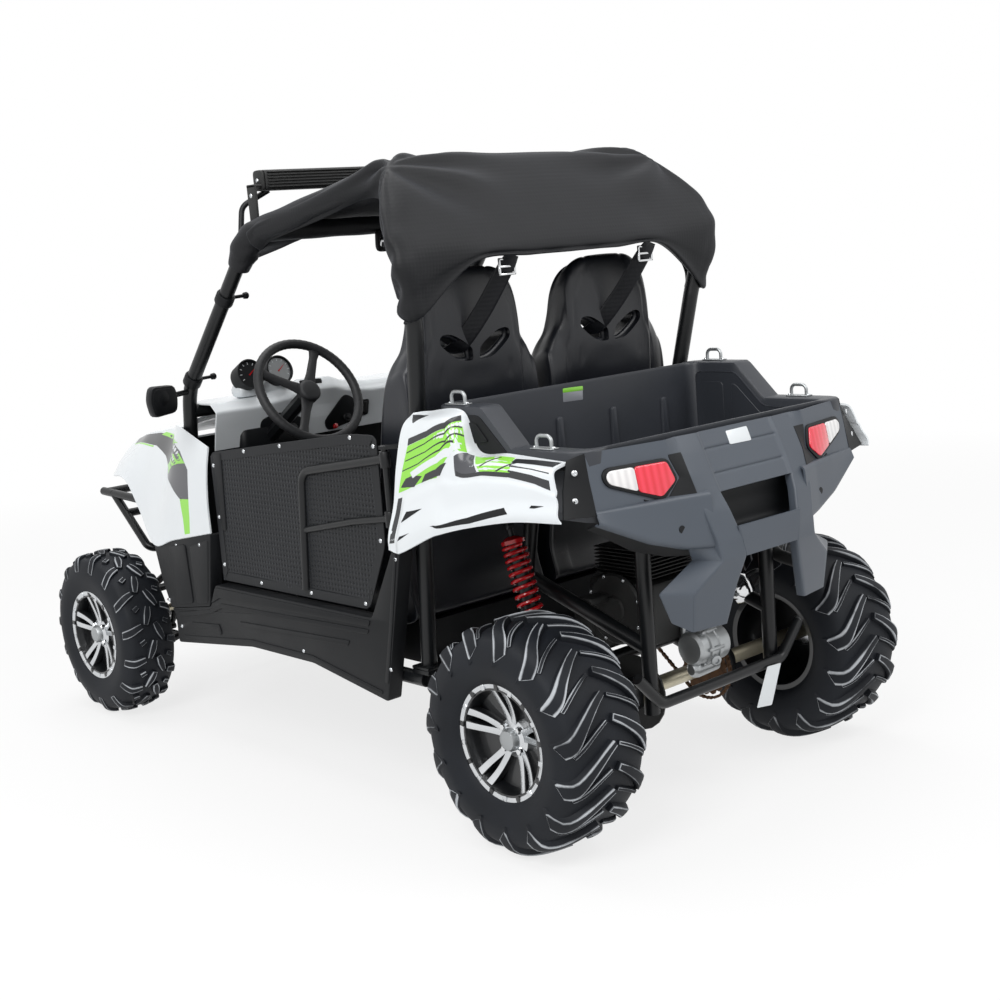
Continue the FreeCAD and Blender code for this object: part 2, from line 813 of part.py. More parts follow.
def rear_suspension_nodes():
    shape_node("swing_arm", swing_arm_shape())
    middle_y = (size.swing_pivot_y + size.rear_axle_y) / 2
    middle_z = (size.swing_pivot_z + rear_axle_z) / 2
    foot_z = middle_z + size.outrigger_rise + size.outrigger_dia / 2 + size.seat_gap
    top_z = size.deck_rail_z - size.rail_dia / 2 - size.seat_gap
    damper = coil_over((size.shock_x, size.rear_cross_y + 150, top_z - 4), (size.shock_x, middle_y, foot_z + 0.4),
                       size.shock_coil_dia, 7)
    shape_node("rear_shocks", Part.makeCompound(both_sides([damper])))


rear_suspension_nodes()


# Front suspension and steering: A-arms, dampers, knuckles that turn on their kingpins

def front_arm_shape():
    """Lower and upper A-arms of the left side with their pivot sleeves and ball cups."""
    x = float(size.main_rail_x + size.rail_dia / 2 + size.seat_gap + size.sleeve_dia / 2)
    y, z = front_axle_y, front_axle_z
    half, gap = size.kingpin_height / 2, size.seat_gap
    shapes = []
    for sign, pivot_z, cup_z in ((-1, size.nose_rail_z, z - half - gap - 20), (1, size.nose_rail_z + 155, z + half + gap)):
        cup = upright_disc(size.kingpin_dia / 2 + 6, cup_z, cup_z + 20, size.kingpin_x, y)
        parts = [cup]
        for pivot_y in (size.nose_post_y, size.tower_y):
            sleeve = tube([(x, pivot_y - 22, pivot_z), (x, pivot_y + 22, pivot_z)], size.sleeve_dia)
            leg = tube([(x, pivot_y, pivot_z), (size.kingpin_x - 8, y, cup_z + 10)], size.arm_dia, 60, 6)
            parts += [sleeve, leg]
        if sign < 0:
            bar_z = float(front_damper_z())
            parts.append(tube([(size.kingpin_x - 88, y - 46, bar_z), (size.kingpin_x - 88, y + 46, bar_z)], size.arm_dia))
        room = size.kingpin_height + gap * 2
        clear = Part.makeBox(70, 70, float(room), spot(size.kingpin_x - 35, y - 35, z - room / 2))
        shapes.append(one_solid(parts).cut(clear))
    return shapes


def front_damper_z():
    """Height of the bar across the lower arm that carries the damper."""
    cup_z = front_axle_z - size.kingpin_height / 2 - size.seat_gap - 10
    pivot_x = size.main_rail_x + size.rail_dia / 2 + size.seat_gap + size.sleeve_dia / 2
    share = (size.kingpin_x - 88 - pivot_x) / (size.kingpin_x - 8 - pivot_x)
    return size.nose_rail_z + (cup_z - size.nose_rail_z) * share


def knuckle_shape():
    """Kingpin, stub axle and steering arm of the left side."""
    x, y, z = size.kingpin_x, front_axle_y, front_axle_z
    half = size.kingpin_height / 2
    pin = z_rod(size.kingpin_dia / 2, z - half, z + half, x, y)
    spindle = x_rod(size.spindle_dia / 2, x, size.front_half_track + 52, y, z)
    shoulder = flat_disc(26, 12, float(x) + 10, y, z, 12)
    low = z + size.steer_arm_rise
    tip = y + size.steer_arm
    outline = ring_of([(x - 11, y - 8, low), (x + 11, y - 8, low), (x - 4, tip + 12, low), (x - 40, tip + 12, low),
                       (x - 40, tip - 12, low)])
    arm = Part.Face(outline).extrude(Vector(0, 0, float(size.steer_arm_thick)))
    return one_solid([pin, spindle, shoulder, arm])


def steering_nodes():
    arms = front_arm_shape()
    shape_node("front_arms", Part.makeCompound(both_sides(arms)))
    y, z = front_axle_y, front_axle_z
    foot_z = front_damper_z() + size.arm_dia / 2 + size.seat_gap
    rail_z = size.nose_frame_z + 50 * (float(y - size.nose_post_y) / float(size.front_cross_y - size.nose_post_y))
    top = (size.main_rail_x + 6, y, rail_z - size.rail_dia / 2 - size.seat_gap - 3.6)
    damper = coil_over(top, (size.kingpin_x - 88, y, foot_z + 0.2), size.shock_coil_dia - 10, 6)
    shape_node("front_shocks", Part.makeCompound(both_sides([damper])))
    knuckle = knuckle_shape()
    pair("knuckle", knuckle)
    rack_y = y + size.steer_arm
    rack_z = z + size.steer_arm_rise + size.steer_arm_thick + size.moving_gap + size.rack_dia / 2
    reach = size.kingpin_x - 30
    node(rod("rack_bar", size.rack_dia / 2, reach * 2, (-reach, rack_y, rack_z)), "rack_bar")
    seat_z = size.nose_rail_z + size.rail_dia / 2 + size.seat_gap
    half, wide = size.rack_housing_length / 2, size.rack_foot_width
    housing = block("rack_case", (-half, rack_y - 20, rack_z - 22), (half * 2, 40, 44))
    feet = [block("rack_foot_" + side, (x, rack_y, seat_z), (wide, size.tower_y - rack_y + 14, rack_z - seat_z))
            for side, x in (("left", half - wide - 10), ("right", 10 - half))]
    bore = rod("rack_bore", size.rack_dia / 2 + size.shaft_gap, half * 4, (half * -2, rack_y, rack_z))
    node(cut("rack_housing", fused("rack_body", [housing] + feet), bore), "rack_housing")


steering_nodes()


def ring_tube(radius, thick, steps=20, sides=8):
    """A closed round of tube about X, in flat sides."""
    outline = [(thick / 2 * math.cos(2 * math.pi * i / sides), thick / 2 * math.sin(2 * math.pi * i / sides))
               for i in range(sides)]
    rows = []
    for i in range(steps):
        turn = 2 * math.pi * i / steps
        rows.append([spot(x, (radius + r) * math.sin(turn), (radius + r) * math.cos(turn)) for x, r in outline])
    faces = []
    for low, high in zip(rows, rows[1:] + rows[:1]):
        for i in range(sides):
            following = (i + 1) % sides
            faces += flat_faces([low[i], low[following], high[following], high[i]])
    return closed_solid(faces)


def steering_wheel_nodes():
    """The wheel stands square to the tilted column; hub, three spokes and a round rim."""
    thick = float(size.steering_rim_dia)
    radius = float(size.steering_wheel_dia) / 2 - thick / 2
    ring = ring_tube(radius, thick)
    hub = flat_disc(34, 34, -20, 0, 0, 12)
    spokes = []
    for angle in (90, 180, 270):
        spoke = Part.makeBox(10, radius, 26, Vector(-2, 0, -13))
        spoke.rotate(Vector(), Vector(1, 0, 0), angle)
        spokes.append(spoke)
    wheel = ring.multiFuse([hub] + spokes)
    along = column_direction()
    centre = spot(size.steering_x, size.steering_y, size.steering_z)
    wheel.Placement = FreeCAD.Placement(centre, FreeCAD.Rotation(Vector(1, 0, 0), along))
    shape_node("steering_wheel", wheel)
    top = centre - along * (20 + float(size.seat_gap))
    reach = (top.y - float(size.firewall_y)) / along.y
    foot = top - along * (reach - 20)
    shape_node("steering_column", tube([foot, top], size.column_dia))


def column_direction():
    """The column's axis, from the foot up to the driver."""
    tilt = math.radians(float(size.column_tilt))
    return Vector(0, math.cos(tilt), math.sin(tilt))


steering_wheel_nodes()


# Engine with its drive: block, gear case, chain to the axle, silencer

def engine_shape():
    """Crankcase with cooling fins, a nose for the output shaft and an ear on each side rail strut."""
    wide = float(size.engine_left_x - size.engine_right_x)
    block = Part.makeBox(wide, float(size.engine_rear_y - size.engine_front_y), float(size.engine_high_z - size.engine_low_z),
                         spot(size.engine_right_x, size.engine_front_y, size.engine_low_z))
    nose = Part.makeBox(wide, 68, 120, spot(size.engine_right_x, size.drive_y - 25, size.drive_z - 27))
    shaft = flat_disc(12, 28, -128, size.drive_y, size.drive_z, 12)
    fins = [Part.makeBox(190, 190, 7, spot(-75, 850, 600 + 15 * i)) for i in range(3)]
    core = Part.makeBox(150, 150, 42, spot(-55, 870, 598))
    reach = float(size.main_rail_x - size.rail_dia / 2 - size.seat_gap)
    ears = Part.makeBox(2 * reach, 44, 26, spot(-reach, 878, 500))
    slot = Part.makeBox(reach - 100, 60, 60, spot(-reach - 1, 870, 440))
    return one_solid([block, nose, shaft, core, ears] + fins).cut(slot).fuse(
        Part.makeBox(reach - 100, 44, 22, spot(-reach, 878, 502)))


def chain_shape():
    """A closed loop of link plates round both sprockets, its plates alternating in height."""
    rear, front = spot(0, size.rear_axle_y, rear_axle_z), spot(0, size.drive_y, size.drive_z)
    rear_radius = float(size.sprocket_dia) / 2 + float(size.chain_clear) + 4
    front_radius = float(size.drive_radius) + float(size.seat_gap) + 5.0
    line = front - rear
    span = line.Length
    lean = math.acos((rear_radius - front_radius) / span)
    heading = math.atan2(line.z, line.y)
    points = []
    for centre, radius, start, stop in ((rear, rear_radius, lean, 2 * math.pi - lean), (front, front_radius, -lean, lean)):
        steps = int(radius * (stop - start) / 16) + 1
        for i in range(steps + 1):
            turn = heading + start + (stop - start) * i / steps
            points.append(centre + Vector(0, math.cos(turn), math.sin(turn)) * radius)
    loops = []
    for sign in (1, -1):
        line = []
        for i, point in enumerate(points):
            centre = rear if (point - rear).Length < rear_radius + 1 else front
            outward = (point - centre).normalize()
            line.append(point + outward * (sign * 4))
        loops.append(Part.Face(ring_of([(size.sprocket_x - size.chain_width / 2, p.y, p.z) for p in line])))
    return loops[0].cut(loops[1]).extrude(Vector(float(size.chain_width), 0, 0))


def engine_nodes():
    shape_node("engine", engine_shape())
    case = side_plate([(1060.3, 440), (1148, 430), (1148, 340), (1120, 305), (1075, 325), (1060.3, 410)], -60, 60)
    shape_node("gear_case", case)
    hole = flat_disc(12 + float(size.seat_gap), 200, -200, size.drive_y, size.drive_z, 12)
    x = float(size.sprocket_x) - 4
    drive = toothed_disc(float(size.drive_radius) - 5, 9, 5, 8, x, float(size.drive_y), float(size.drive_z))
    shape_node("drive_sprocket", drive.cut(hole))
    shape_node("chain", chain_shape())
    radius = 44
    silencer = turned_solid([(-205, 30), (-190, radius), (90, radius), (105, 30)], 12)
    silencer.translate(spot(0, 1000, 640 + radius + 0.3))
    outlet = tube([(-190, 1000, 684), (-250, 1010, 670), (-276, 1130, 560), (-276, 1215, 545)], 34, 40)
    shape_node("exhaust", one_solid([silencer, outlet]))
    guard_y = size.deck_rail_end_y - 60 + size.rail_dia / 2 + size.seat_gap + size.guard_dia / 2
    low, high = size.guard_z, size.guard_z + 81
    half = size.main_rail_x
    guard = tube([(-half - 80, guard_y, high), (-half, guard_y, low), (half, guard_y, low), (half + 80, guard_y, high)],
                 size.guard_dia, 40)
    shape_node("rear_guard_bar", guard)


engine_nodes()


# Front bumper of round tube

def bumper_shape():
    """Two horns with slanted legs down to the nose frame, joined by two cross bars."""
    dia, x, tip, z = size.bumper_dia, size.bumper_x, size.bumper_tip_y, size.bumper_z
    post_x = size.main_rail_x + size.rail_dia / 2 + size.seat_gap
    horn = tube([(x, tip, z), (x, size.nose_post_y, z - 14), (post_x, size.nose_post_y, z - 14)], dia, 30, 6)
    leg = tube([(x, tip + 70, z), (x, size.nose_post_y - 15, z - 180), (post_x, size.nose_post_y, z - 180)], dia, 30, 6)
    bars = [tube([(-x, y, z - drop), (x, y, z - drop)], dia, 30, 6) for y, drop in ((tip + 34, 0), (tip + 152, 67))]
    return one_solid(both_sides([horn, leg]) + bars)


shape_node("front_bumper", bumper_shape())


# Cab floor, seat box and seats

def cab_nodes():
    floor_z = float(size.rail_z + size.rail_dia / 2 + size.seat_gap)
    half, wall, front = float(size.floor_half_width), float(size.panel_wall), float(size.firewall_y)
    body = new_body("floor_pan")
    profile = [(front, floor_z), (575, floor_z), (575, floor_z + wall), (front + wall, floor_z + wall),
               (front + wall, 900), (front, 900)]
    padded(body, "floor_pan_pad", new_sketch(body, "floor_pan_profile", "YZ_Plane", [profile]), size.floor_half_width * 2, True)
    node(body, "floor_pan")
    top = floor_z + wall + float(size.seat_gap)
    outer = [(60, top), (560, top), (560, size.seat_base_z), (60, size.seat_base_z)]
    box = new_body("seat_base")
    padded(box, "seat_base_pad", new_sketch(box, "seat_base_profile", "YZ_Plane", [outer]), size.floor_half_width * 2, True)
    inner = [(60 + wall, top - 1), (560 - wall, top - 1), (560 - wall, size.seat_base_z - wall), (60 + wall, size.seat_base_z - wall)]
    padded(box, "seat_base_hollow", new_sketch(box, "seat_base_inside", "YZ_Plane", [inner]),
           (size.floor_half_width - wall) * 2, True, "Pocket")
    node(box, "seat_base")
    seat = seat_shape()
    pair("seat", seat)


def seat_shape():
    """A moulded bucket: side bolsters and shoulders, a narrower rounded head, two slots for the belts."""
    base = float(size.seat_base_z + size.seat_gap)
    half, head = float(size.seat_width) / 2, float(size.seat_head_z)
    profile = [(1, 20, head - 251), (0.88, 48, head - 201), (0.75, 14, head - 156), (0.7, 0, head - 46), (0.44, -4, head)]
    stations = []
    for share, bolster, top in [(-s, b, t) for s, b, t in profile] + profile[::-1]:
        x = size.seat_x + half * share
        lean = (top - 600) / 10
        middle = top * 0.6 + 280
        stations.append([
            (x, 64, base), (x, 46, base + 66), (x, 78, base + 128 + bolster * 0.8), (x, 400 - bolster, base + 100 + bolster),
            (x, 452 - bolster, base + 180), (x, 480 - bolster + lean * 0.5, middle), (x, 470 - bolster * 0.4 + lean, top - 26),
            (x, 486 + lean, top), (x, 545 + lean * 0.9, top), (x, 560 + lean * 0.7, middle), (x, 545, base + 130), (x, 520, base),
        ])
    return skinned(stations).cut(Part.makeCompound(belt_slots(head)))


def belt_slots(head):
    """Tools for the two slots through the seat's back, their outer ends higher."""
    slots = []
    for sign in (1, -1):
        outline = [(14, head - 214), (62, head - 206), (118, head - 160), (104, head - 140), (70, head - 146), (14, head - 182)]
        corners = ring_of([(size.seat_x + sign * x, 400, z) for x, z in outline])
        slots.append(Part.Face(corners).extrude(Vector(0, 300, 0)))
    return slots


cab_nodes()


# Body panels

def hood_nodes():
    wall = float(size.panel_wall)
    rows = []
    for y, half, edge, rise in ((-1150, 296, 832, 14), (-1030, 330, 862, 20), (-930, 356, 884, 24), (-850, 382, 898, 26),
                                (-577, 432, 932, 34), (-470, 444, 962, 34)):
        rows.append([(x * half, y, edge + rise * (1 - x * x)) for x in (-1, -0.7, -0.25, 0.25, 0.7, 1)])
    shape_node("hood", sheet(rows, wall))
    rows = []
    for y, x0, z0, x1, z1 in ((-1115, 310.6, 840, 392, 752), (-1030, 334.6, 862, 440, 756), (-943, 357.2, 881, 462, 762),
                              (-868, 382.8, 895, 478, 738), (-755, 404.8, 910, 508, 664), (-596, 433.2, 929.6, 561, 588),
                              (-468, 506, 950, 564, 614), (-255, 540, 900, 562, 653)):
        rows.append([(x0, y, z0), (x0 * 0.72 + x1 * 0.28 + 8, y, z0 * 0.72 + z1 * 0.28), (x0 * 0.35 + x1 * 0.65 + 8, y, z0 * 0.35 + z1 * 0.65),
                     (x1, y, z1)])
    fender = sheet(rows, wall)
    pair("front_fender", fender)
    rows = []
    for z, half, y in ((826, 296, -1152), (770, 310, -1168), (690, 292, -1152), (600, 250, -1113.6), (560, 240, -1107.6)):
        rows.append([(x * half, y + 46 * x * x, z) for x in (-1, -0.6, -0.2, 0.2, 0.6, 1)])
    nose = sheet(rows, -wall)
    shape_node("nose", nose)
    cover = sheet(rows, -60)
    cover.translate(Vector(0, -float(size.seat_gap), 0))
    lamp = skinned([[(150, y + 6, 700), (262, y + 30, 716), (268, y + 24, 766), (150, y, 758)] for y in (-1180, -1156)])
    shape_node("headlamps", Part.makeCompound(both_sides([lamp.cut(cover)])))


def lower_panel_nodes():
    """Sills with the rear post that reaches up to the quarter panel, and the flares ahead of them."""
    sill = [(-509, 291), (-97, 336), (201, 335), (521, 282), (577, 500), (624, 684), (593, 686), (483, 498), (-262, 498),
            (-300, 429), (-530, 395), (-512, 381)]
    inner = inset(sill, float(size.panel_wall))
    low, high = size.sill_inner_x, size.sill_outer_x
    for sign, side in ((1, "left"), (-1, "right")):
        body = new_body("sill_" + side)
        sketch = new_sketch(body, "sill_outline_" + side, "YZ_Plane", [sill], offset=(low + high) / 2 * sign)
        padded(body, "sill_pad_" + side, sketch, high - low, True)
        hollow = new_sketch(body, "sill_inside_" + side, "YZ_Plane", [inner], offset=(low + high) / 2 * sign - size.panel_wall * sign)
        padded(body, "sill_hollow_" + side, hollow, high - low, True, "Pocket")
        node(body, "sill_" + side)
    flare = side_plate([(-594, 586), (-567, 478), (-531, 395.2), (-303, 429), (-257, 649.9), (-468, 611)], 556, 562)
    web = side_plate([(-594, 585), (-567, 478), (-531, 395.2), (-525, 396.2), (-561, 480), (-588, 583)], 520, 558)
    flare = one_solid([flare, web])
    pair("flare", flare)


def quarter_panel_nodes():
    rows = []
    for low_y, low_z, high_y, high_z, edge in ((593, 688, 668, 1024, 514), (640, 686, 720, 1029, 506), (760, 735, 838, 1031, 500),
                                               (800, 748, 886, 940, 500), (900, 772, 985, 938, 500), (1060, 800, 1095, 932, 500),
                                               (1214, 809, 1172, 928, 500)):
        tall = high_z - low_z
        rows.append([(x, low_y + (high_y - low_y) * share, low_z + tall * share)
                     for x, share in ((570, 0), (574, 0.12), (562, 0.34), (560, 0.62), (548, 0.9), (edge, 1))])
    panel = sheet(rows, -float(size.panel_wall))
    pair("quarter_panel", panel)


def cargo_bed_node():
    """An open bed with an outward rim, stepped down behind the cab."""
    body = new_body("cargo_bed")
    front, rear, step, wall = size.bed_front_y, size.bed_rear_y, size.bed_step_y, size.bed_wall
    floor = size.deck_rail_z + size.rail_dia / 2 + size.seat_gap
    rim = size.bed_rim_x
    side = [(front, floor), (rear, floor), (rear, size.bed_rear_z), (step, size.bed_rear_z), (step - 90, size.bed_front_z),
            (front, size.bed_front_z)]
    padded(body, "bed_pad", new_sketch(body, "bed_side", "YZ_Plane", [side]), rim * 2, True)
    inside = size.bed_half_width - wall
    well = [(-inside, front + wall), (inside, front + wall), (inside, rear - wall), (-inside, rear - wall)]
    padded(body, "bed_well", new_sketch(body, "bed_plan", "XY_Plane", [well], offset=size.bed_front_z), size.bed_front_z - floor - wall,
           kind="Pocket")
    half = size.bed_half_width
    gutters = [[(s * half, floor - 1), (s * (rim + 1), floor - 1), (s * (rim + 1), size.bed_rear_z - wall), (s * half, size.bed_rear_z - wall)]
               for s in (1, -1)]
    cut_through(body, "bed_gutters", new_sketch(body, "bed_gutter_outline", "XZ_Plane", gutters))
    node(body, "cargo_bed")


def lamp_plane(x, z):
    """How far back the face behind the left tail lamp stands."""
    return 1258.1 - 0.187 * (x - 240) - 0.2 * (z - 856)


def fascia_rows():
    """Four levels of the upper band: tailgate, pillar ridge, lamp face, outer edge; right to left."""
    edge = float(size.fascia_half)
    rows = []
    for z, middle_x, middle_y, ridge_x, ridge_y, lamp_x in ((944, 136, 1236, 212, 1228, 250), (904, 136, 1254, 210, 1250, 256),
                                                            (856, 136, 1274, 210, 1272, 238), (808, 134, 1295, 204, 1288, 288)):
        left = [(middle_x, middle_y, z), (ridge_x, ridge_y, z), (lamp_x, lamp_plane(lamp_x, z), z), (edge, lamp_plane(edge, z), z)]
        rows.append([(-x, y, z) for x, y, z in left[::-1]] + left)
    return rows


def fascia_shape():
    """One moulding: the sloped tailgate, two pillars that meet in a waist plate, wings below the lamps."""
    deep = 16
    pillar = []
    for z, inner_x, inner_y, outer_x, outer_y in ((812, 134, 1293, 206, 1286), (770, 124, 1311, 201, 1301), (700, 105, 1330, 182, 1318),
                                                  (655, 95, 1331, 176, 1325), (590, 118, 1318, 256, 1300), (500, 147, 1305, 251, 1288)):
        pillar.append([(inner_x, inner_y - deep, z), (outer_x, outer_y - deep, z), (outer_x, outer_y, z), (inner_x, inner_y, z)])
    wing = []
    for x, y, low, high in ((178, 1298, 690, 770), (250, 1276, 700, 812), (342, 1256, 728, 812), (474, 1230, 794, 812)):
        wing.append([(x, y - deep / 2, low), (x, y - deep, high), (x, y - deep / 4, high), (x, y + deep / 2, low)])
    waist = skinned([[(-x, 1315, z), (x, 1315, z), (x, y, z), (-x, y, z)] for z, x, y in ((654, 104, 1331), (727, 114, 1329))])
    return one_solid([sheet(fascia_rows(), size.panel_wall + 1), waist] + both_sides([skinned(pillar), skinned(wing)]))


def tail_nodes():
    """The rear fascia with its lamps, and the tie-down hooks on the bed's rim."""
    shape_node("rear_fascia", fascia_shape())
    outline = [(260, 905), (430, 905), (443, 888), (435, 864), (292, 812), (242, 853)]
    skin = float(size.panel_wall) / 5
    backing = skinned([[(x, y + skin, z) for x, y, z in row] + [(row[-1][0], 1120, row[0][2]), (row[0][0], 1120, row[0][2])]
                       for row in fascia_rows()])
    lamp = skinned([[(x, lamp_plane(x, z) + lift, z) for x, z in outline] for lift in (-14, 9)])
    shape_node("tail_lamps", Part.makeCompound(both_sides([lamp.cut(backing)])))
    hooks = []
    for x, y, z in ((472, 1073, size.bed_rear_z), (472, 790, size.bed_front_z)):
        foot = z + size.seat_gap
        hooks.append(tube([(x, y - 24, foot), (x, y - 24, foot + 30), (x, y + 24, foot + 30), (x, y + 24, foot)], 9, 12, 5))
    shape_node("tie_down_hooks", Part.makeCompound(both_sides(hooks)))


hood_nodes()
lower_panel_nodes()
quarter_panel_nodes()
cargo_bed_node()
tail_nodes()


# Dashboard

def dash_nodes():
    half, wall = float(size.dash_half_width), float(size.panel_wall)
    rows = [[(x * half, y, z) for x in (-1, 1)] for y, z in ((-492, 1012), (-352, 1012), (-322, 986), (-338, 930), (-352, 872))]
    shell = sheet(rows, wall)
    along = column_direction()
    centre = spot(size.steering_x, size.steering_y, size.steering_z)
    column = Part.makeCylinder(float(size.column_dia) / 2 + 6, 500, centre - along * 500, along)
    shape_node("dashboard", shell.cut(column))
    pods = []
    for x in (size.steering_x - 52, size.steering_x + 52):
        pod = turned_solid([(0, 40), (60, 46)], 16)
        pod.Placement = FreeCAD.Placement(spot(x, -392, 1066), FreeCAD.Rotation(Vector(1, 0, 0), Vector(0, 0.94, 0.34)))
        pods.append(pod)
    cowl = Part.makeBox(170, 60, 44, spot(float(size.steering_x) - 85, -414, 1012.4))
    shape_node("gauge_pods", one_solid(pods + [cowl]))


dash_nodes()


# Roof: canvas over the rails, light bar, mirrors

def roof_nodes():
    dia = float(size.cage_dia)
    skin = float(size.canvas_wall)
    lift = dia / 2 + float(size.seat_gap) + skin + 0.6
    rows = []
    for y in (-5, 120, 270, 420, 556):
        half = 458 - (y + 50) * 53 / 610 + lift + 1
        rows.append((y, 1482 + (y + 50) * 130 / 610 + lift + 1.6, half, 70))
    rows += [(592, 1628, 470, 66), (668, 1530, 532, 66), (750, 1412, 590, 60)]
    corner = 11
    outlines = [[(-half, y, z - drop), (-half, y, z - corner), (-half + corner, y, z), (0, y, z + 6 * (y < 570)), (half - corner, y, z),
                 (half, y, z - corner), (half, y, z - drop)] for y, z, half, drop in rows]
    shape_node("canopy", sheet(outlines, skin))
    bar = Part.makeBox(float(size.light_bar_length), 46, 62, spot(-size.light_bar_length / 2, -62, 1598))
    rail_x = float(size.side_rail_x - 42)
    bar_end = float(size.light_bar_length / 2)
    arm = Part.makeBox(abs(rail_x - bar_end) + 12, 40, 8, spot(min(rail_x, bar_end) - 6, -59, 1612))
    upright = Part.makeBox(8, 40, 142, spot(rail_x - 2, -59, 1478))
    rail = cage_rail(float(size.cage_dia) + 2 * float(size.seat_gap))
    bracket = arm.fuse(upright).cut(rail)
    bracket = max(bracket.Solids, key=lambda solid: solid.Volume)
    shape_node("light_bar", one_solid([bar] + both_sides([bracket])))
    housing = skinned([[(604, y, 1010), (690, y + 22, 1004), (702, y + 24, 1052), (690, y + 22, 1092), (604, y, 1088), (596, y, 1050)]
                       for y in (-318, -282)])
    stalk = tube([(float(size.side_rail_x) + 2, -418, 1050), (560, -380, 1050), (620, -306, 1050)], 16, 30, 6)
    mirror = one_solid([housing, stalk]).cut(rail)
    pair("mirror", mirror)
    inside = Part.makeBox(190, 16, 64, spot(-95, 34, 1412))
    stem = Part.makeBox(24, 12, 30, spot(-12, 36, 1470))
    header = header_bar(size.cross_bar_dia + 2 * size.seat_gap)
    shape_node("interior_mirror", one_solid([inside, stem]).cut(header))


roof_nodes()


# Doors: a bent bar and a net panel that swing on a pin beside the rear hoop

def door_nodes():
    x, y = size.door_pin_x, size.door_hinge_y
    pin_radius = float(size.door_pin_dia) / 2
    posts = []
    for z in (704, 936):
        tab = Part.Face(ring_of([(470, 612, z), (x - 8, y - 12, z), (x + 12, y - 8, z), (x + 8, y + 12, z), (500, 640, z)]))
        posts.append(tab.extrude(Vector(0, 0, 8)))
    pin = z_rod(pin_radius, 704, 944, x, y)
    cage = cage_hoop(float(size.cage_dia) + 2 * float(size.seat_gap))
    hinge = one_solid(posts + [pin]).cut(cage)
    shape_node("door_hinges", Part.makeCompound(both_sides(hinge.Solids)))
    bore = z_rod(pin_radius + float(size.shaft_gap), 600, 1000, x, y)
    knuckles = [upright_disc(pin_radius + 6, z, z + 40, float(x), float(y), 12) for z in (740, 890)]
    bar_x = float(size.door_x)
    bar = tube([(bar_x, float(y) - 8, 910), (bar_x, 213, 858), (bar_x, 179, 534)], size.door_bar_dia, 45, 6)
    lower = tube([(bar_x, float(y) - 8, 760), (bar_x, 420, 740), (bar_x, 206, 700)], size.door_bar_dia - 6, 45, 6)
    low = bar_x - 3
    net = side_plate([(-240, 512), (455, 512), (545, 690), (548, 968), (434, 967), (109, 929), (-240, 886)], low, low + 4)
    door = one_solid([bar, lower, net] + knuckles).cut(bore)
    pair("door", door)


door_nodes()


def check_and_write():
    """Refuse a failed object, then write each sub-part."""
    doc.recompute()
    for item in doc.Objects:
        if "Invalid" in item.State or "Error" in item.State:
            raise RuntimeError("failed: " + item.Label)
    for item in nodes:
        if item.Shape.isNull() or not item.Shape.isValid():
            raise RuntimeError("bad shape: " + item.Label)
    os.makedirs("parts", exist_ok=True)
    for item in nodes:
        item.Shape.exportStep(os.path.join("parts", item.Label + ".step"))
        print("%-24s solids %2d  volume %9.0f mm3" % (item.Label, len(item.Shape.Solids), item.Shape.Volume))


check_and_write()
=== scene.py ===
# %% [markdown]
# # A two-seat side-by-side, dressed over its measured frame
# The rigid parts were drawn in CAD and come in here as a fixed frame. This file
# gives each of them the surface that the eye expects, and builds the parts that
# a drawing leaves plain: treaded tyres, sewn canvas, seats, netting and lamps.

# %% Load the measured frame
import math

import bmesh
import bpy
import numpy as np
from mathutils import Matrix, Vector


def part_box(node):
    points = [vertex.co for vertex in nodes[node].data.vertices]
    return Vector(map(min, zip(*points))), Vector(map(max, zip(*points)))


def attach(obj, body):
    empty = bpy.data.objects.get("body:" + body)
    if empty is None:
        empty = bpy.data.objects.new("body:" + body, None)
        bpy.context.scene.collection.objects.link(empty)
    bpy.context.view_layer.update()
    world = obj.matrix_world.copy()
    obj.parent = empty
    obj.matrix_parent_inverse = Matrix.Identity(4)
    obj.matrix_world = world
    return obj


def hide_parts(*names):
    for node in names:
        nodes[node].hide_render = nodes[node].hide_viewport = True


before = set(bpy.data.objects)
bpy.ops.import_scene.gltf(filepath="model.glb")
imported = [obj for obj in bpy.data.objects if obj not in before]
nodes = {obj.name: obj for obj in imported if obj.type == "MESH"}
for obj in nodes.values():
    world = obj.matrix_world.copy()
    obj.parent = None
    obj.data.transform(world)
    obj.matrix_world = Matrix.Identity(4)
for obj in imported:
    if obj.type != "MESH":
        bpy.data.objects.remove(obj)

MM = 0.001
ACROSS, BACK, UP = (1, 0, 0), (0, 1, 0), (0, 0, 1)
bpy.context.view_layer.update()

# %% [markdown]
# ## The camera
# The view was worked out from straight edges of the vehicle, as a surveyor does:
# a place, a line of sight, a small tilt of the hand and the lens. A camera's own
# axes are its right, its up and the direction behind it, which fill its matrix.

# %% Camera
from mathutils import Matrix, Vector


def unit(vectors):
    """Each vector over its length."""
    return vectors / np.linalg.norm(vectors, axis=-1, keepdims=True)


camera_place = np.array([2796.1, 3521.6, 1416.3]) * MM
azimuth, elevation, roll = np.radians([138.34, 9.685, -4.632])
focal_length, far_side = 54.54, 60
behind = np.array([math.sin(azimuth) * math.cos(elevation), -math.cos(azimuth) * math.cos(elevation),
    math.sin(elevation)])
level = unit(np.cross(-behind, [0, 0, 1]))
plumb = np.cross(level, -behind)
camera_right = math.cos(roll) * level + math.sin(roll) * plumb
camera_up = -math.sin(roll) * level + math.cos(roll) * plumb
camera = bpy.data.objects.new("camera", bpy.data.cameras.new("camera"))
bpy.context.scene.collection.objects.link(camera)
pose = np.eye(4)
pose[:3, :3] = np.stack([camera_right, camera_up, behind], axis=1)
pose[:3, 3] = camera_place
camera.matrix_world = Matrix(pose.tolist())
camera.data.lens = focal_length
camera.data.clip_end = far_side
bpy.context.scene.camera = camera
bpy.context.scene.view_settings.view_transform = "Standard"
